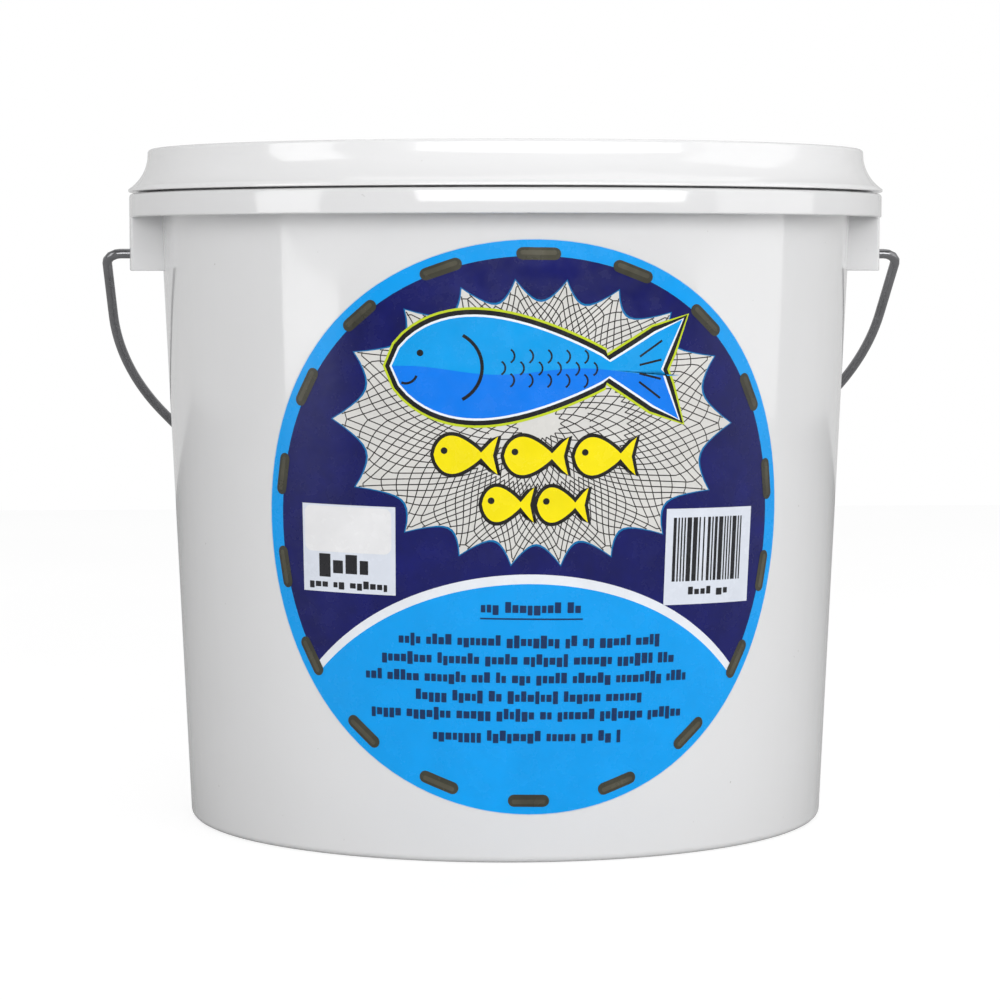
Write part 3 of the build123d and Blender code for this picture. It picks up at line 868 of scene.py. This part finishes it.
def fish_marks(u, v, length, height):
    """A gill line, a mouth, a side fin and tail rays for the large fish."""
    gill = circle(u - length * 0.315, v, height * 0.36, 16, -62, 62)
    mouth = circle(u - length * 0.452, v - height * 0.05, height * 0.12, 8, 250, 340)
    marks = ribbon(gill, 1.1) + ribbon(mouth, 0.8)
    for rise in (-0.18, -0.06, 0.06, 0.18):
        start = (u + length * 0.345, v + height * rise * 0.7)
        marks += ribbon([start, (u + length * 0.425, v + height * rise * 1.6)], 0.7)
    for row, count in ((0.12, 5), (-0.12, 5), (0.0, 6)):
        for number in range(count):
            at = u - length * 0.11 + number * length * 0.062 + (0 if row else -0.03 * length)
            marks += ribbon(circle(at, v + height * row, height * 0.075, 7, -60, 60), 0.6)
    return marks


def area_of(shape):
    """The shape's area, negative where it runs clockwise."""
    return sum(a[0] * b[1] - b[0] * a[1] for a, b in zip(shape, shape[1:] + shape[:1])) / 2


def meeting_angles(ring, low_radius, low_centre):
    """Where a circle about (0, low_centre) crosses the ring about the origin: both half angles."""
    height = (ring**2 - low_radius**2 + low_centre**2) / (2 * low_centre)
    across = math.sqrt(ring**2 - height**2)
    return math.degrees(math.atan2(height, across)), math.degrees(math.atan2(height - low_centre, across))


def field_above(ring, low_radius, low_centre):
    """The part of a disc that lies above a lower circle."""
    on_ring, on_low = meeting_angles(ring, low_radius, low_centre)
    return circle(0, 0, ring, 90, on_ring, 180 - on_ring) + circle(
        0, low_centre, low_radius, 60, 180 - on_low, on_low)[1:-1]


def net_reach(angle, limits):
    """How far the drawn net reaches from its centre: an oval, cut short by the ring above it."""
    wide, tall, rise = limits
    c, s = math.cos(angle), math.sin(angle)
    oval = 1 / math.hypot(c / wide, s / tall)
    to_ring = -rise * s + math.sqrt((rise * s) ** 2 + NET_RING**2 - rise**2)
    return min(oval, to_ring)


def net_edge(angle, limits, tips, sag):
    """The net's edge in a direction, hanging in an even scallop between two tips."""
    sector = (angle / (2 * math.pi) * tips) % 1.0
    return net_reach(angle, limits) * (1 - sag * math.sin(math.pi * sector) ** 0.85)


def drawn_net(centre, limits, tips, sag, shrink=0.0):
    """The outline of the drawn net's disc."""
    shape, steps = [], tips * 10
    for step in range(steps):
        angle = 2 * math.pi * step / steps
        reach = net_edge(angle, limits, tips, sag) - shrink
        shape.append((centre[0] + reach * math.cos(angle), centre[1] + reach * math.sin(angle)))
    return shape


def net_lines(centre, limits, tips, sag, arms, twist):
    """Two crossing sets of spirals that make diamond meshes inside the net disc."""
    quads = []
    for direction in (1, -1):
        for arm in range(arms):
            line, start = [], (0.10, 0.42, 0.24, 0.42)[arm % 4]
            for step in range(25):
                share = start + (1 - start) * step / 24
                angle = 2 * math.pi * arm / arms + direction * twist * math.log(share / 0.1)
                whole = net_reach(angle, limits)
                reach = whole * share + (net_edge(angle, limits, tips, sag) - 0.9 - whole) * share**4
                line.append((centre[0] + reach * math.cos(angle), centre[1] + reach * math.sin(angle)))
            quads += ribbon(line, 0.36)
    return quads


def make_label():
    """The label's print, layer on layer from the sheet up."""
    ring, navy_edge = 95.0, 89.7
    sky, navy, white = (0.0, 0.345, 0.87), (0.004, 0.006, 0.115), (0.80, 0.83, 0.88)
    print_layer("label_sheet", [circle(0, 0, ring + 0.25, 120)], (0.55, 0.62, 0.72), 0)
    print_layer("label_blue", [circle(0, 0, ring, 120)], sky, 1)
    print_layer("label_white_edge", [field_above(navy_edge, 104.0, -122.0)], white, 2)
    print_layer("label_navy", [field_above(navy_edge, 105.4, -120.2)], navy, 3, 0.25)

    centre, limits, tips, sag = (1.0, 35.0), (70.0, 47.5, 35.0), 18, 0.15
    print_layer("label_net_edge", [drawn_net(centre, limits, tips, sag)], (0.0, 0.16, 0.42), 4)
    print_layer("label_net_field", [drawn_net(centre, limits, tips, sag, 0.7)], (0.70, 0.69, 0.66), 5)
    lines = net_lines(centre, limits, tips, sag, 96, 0.5)
    print_layer("label_net_lines", lines, (0.035, 0.032, 0.03), 6)

    dashes, lights = [], []
    for number in range(18):
        angle = 90 + 20 * number
        u, v = 90.4 * math.cos(math.radians(angle)), 90.4 * math.sin(math.radians(angle))
        dashes.append(capsule(u, v, angle + 90, 14.2, 4.1))
        lights.append(capsule(u * 1.004, v * 1.004, angle + 90, 11.6, 1.5))
    print_layer("label_weights", dashes, (0.052, 0.050, 0.034), 7, 0.3)
    print_layer("label_weight_lights", lights, (0.088, 0.083, 0.058), 8, 0.35)

    large = (1.0, 53.0, 96.0, 33.0)
    banner = fish(*large)
    print_layer("label_banner_lime", [grown(banner, 3.1)], (0.55, 0.66, 0.02), 9)
    print_layer("label_banner_black", [grown(banner, 2.3)], (0.01, 0.01, 0.012), 10)
    print_layer("label_banner_white", [grown(banner, 0.75)], (0.86, 0.90, 0.95), 11)
    print_layer("label_banner_blue", [banner], (0.0, 0.20, 0.86), 12)
    upper = [(x, max(y, 52.0 + 1.2 * math.sin((x - 1) / 9))) for x, y in banner]
    upper = [p for i, p in enumerate(upper) if i == 0 or p != upper[i - 1]]
    print_layer("label_banner_light", [upper], (0.0, 0.345, 0.83), 13)
    print_layer("label_banner_marks", fish_marks(*large), (0.01, 0.01, 0.012), 14)
    small = [fish(u, 24.3, 21, 12.5) for u in (-22.5, 0.5, 23.5)]
    small += [fish(u, 8.2, 17, 11.5) for u in (-8.5, 9.5)]
    print_layer("label_small_black", [grown(shape, 1.2) for shape in small], (0.012, 0.012, 0.012), 9)
    print_layer("label_small_yellow", small, (0.93, 0.78, 0.0), 10)
    eyes = ((-29.5, 25.6), (-6.5, 25.6), (16.5, 25.6), (-14.0, 9.4), (4.0, 9.4), (-37.5, 57.5))
    print_layer("label_eyes", [circle(u, v, 1.1, 14) for u, v in eyes], (0.01, 0.01, 0.012), 14)

    boxes = [box_shape(-81, -23, -46, 6.4), box_shape(46, -25.6, 82, 6.6)]
    print_layer("label_boxes", boxes, (0.72, 0.76, 0.84), 7)
    print_layer("label_blank", [box_shape(-80.2, -9.5, -47.4, 5.8, 2.6)], (0.83, 0.83, 0.84), 8)
    black = greek(-74.5, -53.0, -16.6, 6.4, 3.9, 1.0) + greek(-78.5, -49.0, -21.4, 2.6, 1.9, 0.5)
    at = 48.8
    while at < 78.6:
        bar = chance.choice((0.6, 0.6, 1.2, 1.8))
        black.append([(at, -17.8), (at + bar, -17.8), (at + bar, 3.6), (at, 3.6)])
        at += bar + chance.choice((0.6, 0.6, 1.2))
    black += greek(55.5, 72.5, -22.3, 2.6, 2.1, 0.6)
    print_layer("label_black_print", black, (0.015, 0.015, 0.018), 9)

    text = greek(-17, 17, -27.6, 3.6, 1.9, 0.5)
    text.append([(-17.2, -29.9), (17.2, -29.9), (17.2, -29.4), (-17.2, -29.4)])
    rows = ((45, -38.6), (51, -44.8), (57, -51.0), (39, -57.2), (55, -63.1), (33, -70.4))
    for half, base in rows:
        text += greek(-half, half, base, 3.5)
    print_layer("label_text", text, (0.005, 0.03, 0.11), 7)


# ================================================================ the net inside
def helix_path(turns, radius_at, height_at, steps_per_turn, wobble):
    """A coil whose radius and height follow the turn number."""
    path = []
    total = int(turns * steps_per_turn)
    phase = [chance.uniform(0, 6.28) for _ in range(3)]
    for step in range(total + 1):
        turn = step / steps_per_turn
        angle = 2 * math.pi * turn
        drift = wobble * (math.sin(2.7 * turn + phase[0]) + 0.6 * math.sin(7.3 * turn + phase[1]))
        radius = radius_at(turn) + drift
        height = height_at(turn) + 0.5 * wobble * math.sin(4.1 * turn + phase[2])
        path.append(polar(radius, angle, height))
    return path


def layered(turn, per_layer, start_out, pitch, base, rise):
    """Radius and height of a coil wound in flat layers, outward and inward by turns."""
    layer = min(int(turn / per_layer), 100)
    along = turn - layer * per_layer
    offset = along if layer % 2 == 0 else per_layer - along
    ease = max(0.0, along - (per_layer - 1))
    return start_out - offset * pitch, base + (layer + ease * ease * (3 - 2 * ease)) * rise


def braid(length, turn):
    """The relief of a round braid: crossing ridges that run both ways."""
    wave = 2 * math.pi * length / (9.0 * MM)
    return 0.93 + 0.075 * max(math.cos(4 * turn + wave), math.cos(4 * turn - wave))


def make_hand_line():
    """The braided line in its coil, its run to the swivel, and the wrist loop."""
    rope = fibre("rope_yellow", (0.80, 0.60, 0.05), 0.25)
    radius = 2.45 * MM
    outer = (coil_high.x - coil_low.x) / 2 - 2.6 * MM
    rise = (coil_high.z - coil_low.z - 5.0 * MM) / 3

    def radius_at(turn):
        return layered(turn, 5.0, outer, 4.5 * MM, 0, 0)[0]

    def height_at(turn):
        return layered(turn, 5.0, 0, 0, coil_low.z + 2.6 * MM, rise)[1]

    path = helix_path(19.9, radius_at, height_at, 80, 0.35 * MM)
    coil = tube_data(path, radius, relief=braid)
    add_piece("hand_line_turns", coil, rope, "hand_line_rope", "hand_line_coil")

    knot_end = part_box("hand_line_knot")[1].x
    top = coil_high.z
    level = swivel_place.z
    route = [
        (knot_end / MM - 3, 0, (level - top) / MM), (knot_end / MM + 9, 0, (level - top) / MM),
        (knot_end / MM + 12, 14, 10.0), (knot_end / MM + 4, 30, 9.0), (68, 43, 7.5), (52, 50, 5.5),
        (36, 52, 2.5), (22, 48, -2.0),
    ]
    lead_points = smooth_path([Vector((x, y, top / MM + z)) * MM for x, y, z in route])
    lead = tube_data(lead_points, radius, relief=braid)
    add_piece("hand_line_run", lead, rope, "hand_line_rope", "hand_line_lead")

    low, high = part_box("hand_line_knot")
    knot = knot_data(Vector((high.x - 6 * MM, 0, level)), 3.0 * MM, 1.9 * MM)
    add_piece("hand_line_bowline", knot, rope, "hand_line_rope")
    ring = circled(40, lambda t: Vector((
        low.x + 5 * MM + 5 * MM * math.cos(t), 4.2 * MM * math.sin(t), level)))
    loop = tube_data(ring, 1.0 * MM, 10, closed=True)
    add_piece("hand_line_eye_loop", loop, rope, "hand_line_rope", "hand_line_knot")

    low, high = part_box("wrist_loop")
    middle = (low + high) / 2
    half_x, half_y = (high.x - low.x) / 2 - 2.5 * MM, (high.y - low.y) / 2 - 2.5 * MM
    oval = []
    for step in range(160):
        t = 2 * math.pi * step / 160
        c, s = math.cos(t), math.sin(t)
        reach = 1 / (abs(c) ** 3.2 + abs(s) ** 3.2) ** (1 / 3.2)
        oval.append(Vector((middle.x + half_x * reach * c, middle.y + half_y * reach * s,
                            middle.z + 0.4 * MM * math.sin(3 * t))))
    loop = tube_data(oval, radius, closed=True, relief=braid)
    add_piece("wrist_loop_rope", loop, rope, "hand_line_rope", "wrist_loop")
    low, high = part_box("wrist_loop_knot")
    knot = knot_data((low + high) / 2, 3.1 * MM, 2.1 * MM)
    add_piece("wrist_loop_overhand", knot, rope, "hand_line_rope", "wrist_loop_knot")


def smooth_path(points):
    """Points along a smooth spline that has the route's points as its control points."""
    curve = bpy.data.curves.new("route", "CURVE")
    curve.dimensions = "3D"
    curve.resolution_u = 16
    spline = curve.splines.new("NURBS")
    spline.points.add(len(points) - 1)
    for target, point in zip(spline.points, points):
        target.co = (*point, 1.0)
    spline.order_u = 3
    spline.use_endpoint_u = True
    holder = bpy.data.objects.new("route", curve)
    mesh = bpy.data.meshes.new_from_object(holder)
    result = [v.co.copy() for v in mesh.vertices]
    bpy.data.meshes.remove(mesh)
    bpy.data.objects.remove(holder)
    bpy.data.curves.remove(curve)
    return result


def knot_data(centre, size, strand):
    """A tight knot: a trefoil of rope squeezed along its axis, which is X."""
    path = []
    axis = Vector((1, 0, 0))
    side = axis.orthogonal().normalized()
    up = axis.cross(side)
    for step in range(120):
        t = 2 * math.pi * step / 120
        x = math.sin(t) + 1.6 * math.sin(2 * t)
        y = math.cos(t) - 1.6 * math.cos(2 * t)
        z = -1.5 * math.sin(3 * t)
        path.append(centre + side * x * size * 0.42 + up * y * size * 0.42 + axis * z * size * 0.8)
    return tube_data(path, strand, closed=True, relief=braid)


def lead_turns():
    """Radius, height and stagger of each turn, as in the CAD: three rows of four, then four and two."""
    outer = bundle_radius - sleeve_radius
    turns = []
    for base, row_columns in (
        (bundle_low.z + sleeve_radius, (4, 4, 4)),
        (bundle_high.z + upper_turns_rise, (4, 2)),
    ):
        for row, columns in enumerate(row_columns):
            for column in range(columns):
                turns.append((outer - column * turn_pitch, base + row * turn_pitch, row + column))
    return turns


def make_lead_line():
    """The weighted cord in its turns, with a sleeve and a lashing by turns along it."""
    cord_parts, weight_parts, twine_parts = [], [], []
    for radius, height, stagger in lead_turns():
        phase = chance.uniform(0, 6.28)
        ring = circled(180, lambda t: polar(radius, t, height + 0.25 * MM * math.sin(5 * t + phase)))
        cord_parts.append(tube_data(ring, 1.95 * MM, 8, closed=True, relief=braid))
        for number in range(8):
            first = stagger % 2 * 22.5 + 45 * number
            weight_parts.append(weight_data(radius, height, math.radians(first)))
            twine_parts.append(whipping_data(radius, height, math.radians(first + 22.5)))
    cord = fibre("lead_cord_white", (0.62, 0.60, 0.52))
    lead = metal("lead_grey", (0.22, 0.23, 0.25), 0.5, (500.0, 500.0, 500.0), 0.0002)
    twine = fibre("twine_green", (0.02, 0.13, 0.08))
    add_piece(
        "lead_line_turns", join_data(cord_parts), cord, "lead_line_cord", "lead_line", "lead_line_bundle",
    )
    add_piece("lead_sleeves", join_data(weight_parts), lead, "lead", "lead_weights")
    add_piece("lashing_turns", join_data(twine_parts), twine, "lashing_twine", "lead_line_lashing")


def weight_data(radius, height, angle):
    """A lead sleeve crimped on the cord: rounded ends, a waist and small dents."""
    verts, rows, sides = [], 13, 16
    length, fat, bore = 25.0 * MM, sleeve_radius, 2.0 * MM
    dents = [chance.uniform(-0.16, 0.1) * MM for step in range(6)]
    for row in range(rows):
        share = row / (rows - 1) * 2 - 1
        at = angle + share * length / 2 / radius
        edge = max(0.0, abs(share) - 0.82) / 0.18
        thick = bore + (fat - bore) * math.sqrt(max(0.0, 1 - edge**2)) * (1 - 0.05 * math.cos(share * 6))
        spoke = polar(1, at)
        for step in range(sides):
            turn = 2 * math.pi * step / sides
            reach = thick + dents[(step * 3 + row) % 6] * (1 - edge)
            rise = Vector((0, 0, height + reach * math.sin(turn)))
            verts.append(spoke * (radius + reach * math.cos(turn)) + rise)
    faces = grid_faces(rows, sides, close_columns=True)
    faces += [tuple(reversed(range(sides))), tuple((rows - 1) * sides + step for step in range(sides))]
    return verts, faces


def whipping_data(radius, height, angle):
    """Six tight turns of twine round the cord."""
    path, turns, reach = [], 6, 2.6 * MM
    for step in range(turns * 10 + 1):
        share = step / (turns * 10)
        at = angle + (share - 0.5) * 8.5 * MM / radius
        wrap = 2 * math.pi * turns * share
        spoke = polar(1, at)
        rise = Vector((0, 0, height + reach * math.sin(wrap)))
        path.append(spoke * (radius + reach * math.cos(wrap)) + rise)
    return tube_data(path, 0.6 * MM, 5)


def fold_height(radius, angle, seed):
    """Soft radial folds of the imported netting."""
    return (math.sin(9 * angle + seed + 60 * radius) + 0.7 * math.sin(17 * angle - 2 * seed + 95 * radius)
            + 0.5 * math.sin(31 * angle + 3 * seed)) / 2.2


def make_netting():
    """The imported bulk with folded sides, and loose layers of knotted mesh over it."""
    mat = net_material()
    shelf = bundle_low.z - 0.5 * MM
    inner_lead = bundle_radius - 4 * turn_pitch - 3.0 * MM
    side = (netting_high.x - netting_low.x) / 2
    corners = rounded([
        (0, netting_low.z, 0), (side - 4 * MM, netting_low.z, 8 * MM), (side - 1 * MM, shelf, 5 * MM),
        (inner_lead, shelf, 5 * MM), (inner_lead, netting_high.z, 8 * MM), (0, netting_high.z, 0),
    ], 6)
    dense = []
    for (r0, z0), (r1, z1) in zip(corners, corners[1:]):
        count = max(1, int(math.hypot(r1 - r0, z1 - z0) / (4 * MM)))
        dense += [(r0 + (r1 - r0) * k / count, z0 + (z1 - z0) * k / count) for k in range(count)]
    dense.append(corners[-1])
    verts, segments = [], 220
    for step in range(segments):
        angle = 2 * math.pi * step / segments
        for radius, height in dense:
            fold = fold_height(radius, angle, height * 60)
            pull = 1 - (0.018 + 0.014 * fold if radius > 20 * MM else 0)
            folded = height > netting_low.z + 10 * MM and radius > 5 * MM
            lower = (0.8 + 0.8 * fold) * MM if folded else 0
            verts.append(polar(radius * pull, angle, height - lower))
    faces = grid_faces(segments, len(dense), close_rows=True)
    bulk = mesh_object("netting_bulk", verts, faces, mat)
    clean(bulk, 1e-6)
    finish_piece(bulk, "pail", "net_monofilament", "netting")

    strand = net_strand_material()
    row_top = bundle_high.z + upper_turns_rise + 4.9 * MM
    for layer in range(3):
        drape = drape_data(layer, row_top)
        add_piece(f"netting_mesh_{layer + 1}", drape, strand, "net_monofilament", "netting")
    add_piece("netting_gather", gather_data(), strand, "net_monofilament", "netting")


def drape_data(layer, row_top):
    """One layer of knotted diamond mesh, from the upper lead line inward over the mound."""
    around, across = 132, 11
    outside = bundle_radius - (9.0 + 7.0 * layer) * MM
    inside = 61.0 * MM + layer * 1.5 * MM
    points = []
    for row in range(across + 1):
        share = row / across
        ring = []
        for step in range(around):
            angle = 2 * math.pi * (step + 0.5 * (row % 2)) / around
            fold = fold_height(share * 0.1, angle, 1.7 * layer)
            radius = outside + (inside - outside) * share + 2.2 * MM * fold * math.sin(math.pi * share)
            swell = math.sin(math.pi * min(1, share * 1.6))
            over = row_top + (0.8 + layer * 0.9) * MM + 1.6 * MM * (fold + 1) * swell
            floor = netting_high.z + (1.2 + layer) * MM + 1.2 * MM * (fold + 1)
            slide = max(0.0, min(1.0, (share - 0.45) / 0.5))
            slide = slide * slide * (3 - 2 * slide)
            height = over + (floor - over) * slide
            ring.append(polar(radius, angle, height))
        points.append(ring)
    return mesh_of_strands(points)


def gather_data():
    """The netting's upper edge, drawn up the outside of the horn to its lashing."""
    count = 60
    low = netting_high.z + 0.6 * MM
    high = (horn_low.z + horn_high.z) / 2
    rings = []
    for row in range(4):
        share = row / 3
        radius = (30.5 - 4.0 * share) * MM
        height = low + (high - low) * share
        turns = [2 * math.pi * (step + 0.5 * (row % 2)) / count for step in range(count)]
        rings.append([polar(radius, turn, height) for turn in turns])
    return mesh_of_strands(rings)


def mesh_of_strands(rings):
    """Diamonds of thin three-sided strands between rings of knots."""
    radius, knot = 0.22 * MM, 0.5 * MM
    edges = []
    for row, (ring, following) in enumerate(zip(rings, rings[1:])):
        shift = 1 if row % 2 else -1
        for step, start in enumerate(ring):
            edges.append((start, following[step]))
            edges.append((start, following[(step + shift) % len(ring)]))
    verts, faces = [], []
    for start, end in edges:
        along = (end - start).normalized()
        side = along.orthogonal().normalized()
        up = along.cross(side)
        first = len(verts)
        for point in (start, end):
            for step in range(3):
                turn = 2 * math.pi * step / 3
                verts.append(point + (side * math.cos(turn) + up * math.sin(turn)) * radius)
        for step in range(3):
            right = (step + 1) % 3
            faces.append((first + step, first + right, first + 3 + right, first + 3 + step))
    for point in (place for ring in rings for place in ring):
        first = len(verts)
        for offset in ((1, 0, 0), (-1, 0, 0), (0, 1, 0), (0, -1, 0), (0, 0, 1), (0, 0, -1)):
            verts.append(point + Vector(offset) * knot)
        for a, b in ((0, 2), (2, 1), (1, 3), (3, 0)):
            faces += [(first + a, first + b, first + 4), (first + b, first + a, first + 5)]
    return verts, faces


def net_material():
    """Packed monofilament: pale strands, slightly glossy, in a fine diamond mesh pressed into it, with
    painted shade darkening the cells between the strands.
    """
    mat, tree, shader, place = shader_tree("net_bulk")
    cells = tree.nodes.new("ShaderNodeTexVoronoi")
    cells.feature = "DISTANCE_TO_EDGE"
    set_inputs(cells, {"Scale": 190.0})
    tree.links.new(place.outputs["Object"], cells.inputs["Vector"])
    # painted shade: the cells between the pale strands are coloured dark for the shade in the gaps of the
    # packed net
    ramp = add_colour(tree, shader, cells.outputs["Distance"], [
        (0.0, (0.80, 0.85, 0.82)), (0.06, (0.62, 0.69, 0.66)),
        (0.16, (0.30, 0.36, 0.34)), (0.5, (0.20, 0.25, 0.24)),
    ])
    set_inputs(shader, {"Roughness": 0.45})
    add_bump(tree, shader, ramp.outputs["Color"], 0.0008, 0.8)
    return mat


def net_strand_material():
    """Clear monofilament: pale green, with a clear coat."""
    mat, tree, shader, place = shader_tree("net_strand")
    drift = noise_node(tree, place, 90.0, 3.0, 0.5)
    stops = [(0.35, (0.70, 0.78, 0.76)), (0.65, (0.90, 0.94, 0.92))]
    add_colour(tree, shader, drift, stops)
    set_inputs(shader, {"Roughness": 0.18, "Coat Weight": 0.5})
    return mat


def make_brail_lines():
    """Twelve draw lines from the netting up through the horn, bent over into the crimp."""
    low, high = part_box("brail_crimp")
    level = swivel_place.z
    strand = net_strand_material()
    parts = []
    for line in range(12):
        turn = 2 * math.pi * line / 12
        tight = Vector((0, math.cos(turn) * 2.6, math.sin(turn) * 2.6)) * MM
        foot = Vector((math.cos(turn) * 14, math.sin(turn) * 14, 0)) * MM
        route = [
            Vector((foot.x, foot.y, netting_high.z + 1.0 * MM)),
            Vector((foot.x * 0.6 - 3 * MM, foot.y * 0.5, horn_low.z + 8 * MM)),
            Vector((-9.5 * MM + tight.z, tight.y, horn_high.z - 4 * MM)),
            Vector((-9.5 * MM + tight.z, tight.y, level - 1.0 * MM)) + Vector((0, 0, tight.z * 0.5)),
            Vector((-3.0 * MM, tight.y, level + tight.z)),
            Vector((low.x + 1 * MM, tight.y, level + tight.z)),
            Vector((high.x - 1 * MM, tight.y * 0.9, level + tight.z * 0.9)),
        ]
        parts.append(tube_data(smooth_path(route), 0.55 * MM, 8))
    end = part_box("brail_lines")[1].x
    ring = circled(40, lambda t: Vector((
        end - 5 * MM + 4.3 * MM * math.cos(t), 4 * MM * math.sin(t), level)))
    for shift in (-0.5, 0.5):
        parts.append(tube_data([p + Vector((0, 0, shift * MM)) for p in ring], 0.5 * MM, 8, closed=True))
    add_piece("brail_line_strands", join_data(parts), strand, "brail_monofilament", "brail_lines")


def make_horn_lashing():
    """Twine wound round the horn's groove over the netting's edge."""
    low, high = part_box("horn_lashing")
    turns, steps_per_turn, edge_gap = 6, 72, 0.7 * MM
    radius = high.x - 1.2 * MM
    path = []
    for step in range(turns * steps_per_turn + 1):
        share = step / (turns * steps_per_turn)
        angle = 2 * math.pi * turns * share
        height = low.z + edge_gap + (high.z - low.z - 2 * edge_gap) * share
        path.append(polar(radius, angle, height))
    twine = fibre("horn_twine_green", (0.02, 0.13, 0.08))
    lashing = tube_data(path, 0.65 * MM, 8, relief=braid)
    add_piece("horn_twine_turns", lashing, twine, "horn_twine", "horn_lashing")


def dress_cad_nodes():
    """Better materials for the CAD pieces whose shape is already right."""
    brass = metal("swivel_brass", (0.62, 0.44, 0.18), 0.25)
    crimp = metal("crimp_aluminium", (0.62, 0.63, 0.65), 0.35)
    looks = {
        "horn": moulded_plastic("horn_blue", (0.015, 0.09, 0.40), 0.28, 0.06),
        "lid_gasket": moulded_plastic("gasket_grey", (0.55, 0.56, 0.58), 0.55, 0.05),
        "hand_line_ties": moulded_plastic("tie_black", (0.02, 0.02, 0.022), 0.35, 0.2),
        "brail_crimp": crimp,
        "lead_line_crimp": crimp,
        "swivel_barrel": brass,
        "swivel_eye_lower": brass,
        "swivel_eye_upper": brass,
    }
    for node, mat in looks.items():
        for slot in frame["nodes"][node].material_slots:
            slot.material = mat


make_camera()
make_light()
make_floor()
make_pail()
make_lid()
make_bail()
make_grip()
make_label()
make_netting()
make_lead_line()
make_hand_line()
make_brail_lines()
make_horn_lashing()
dress_cad_nodes()
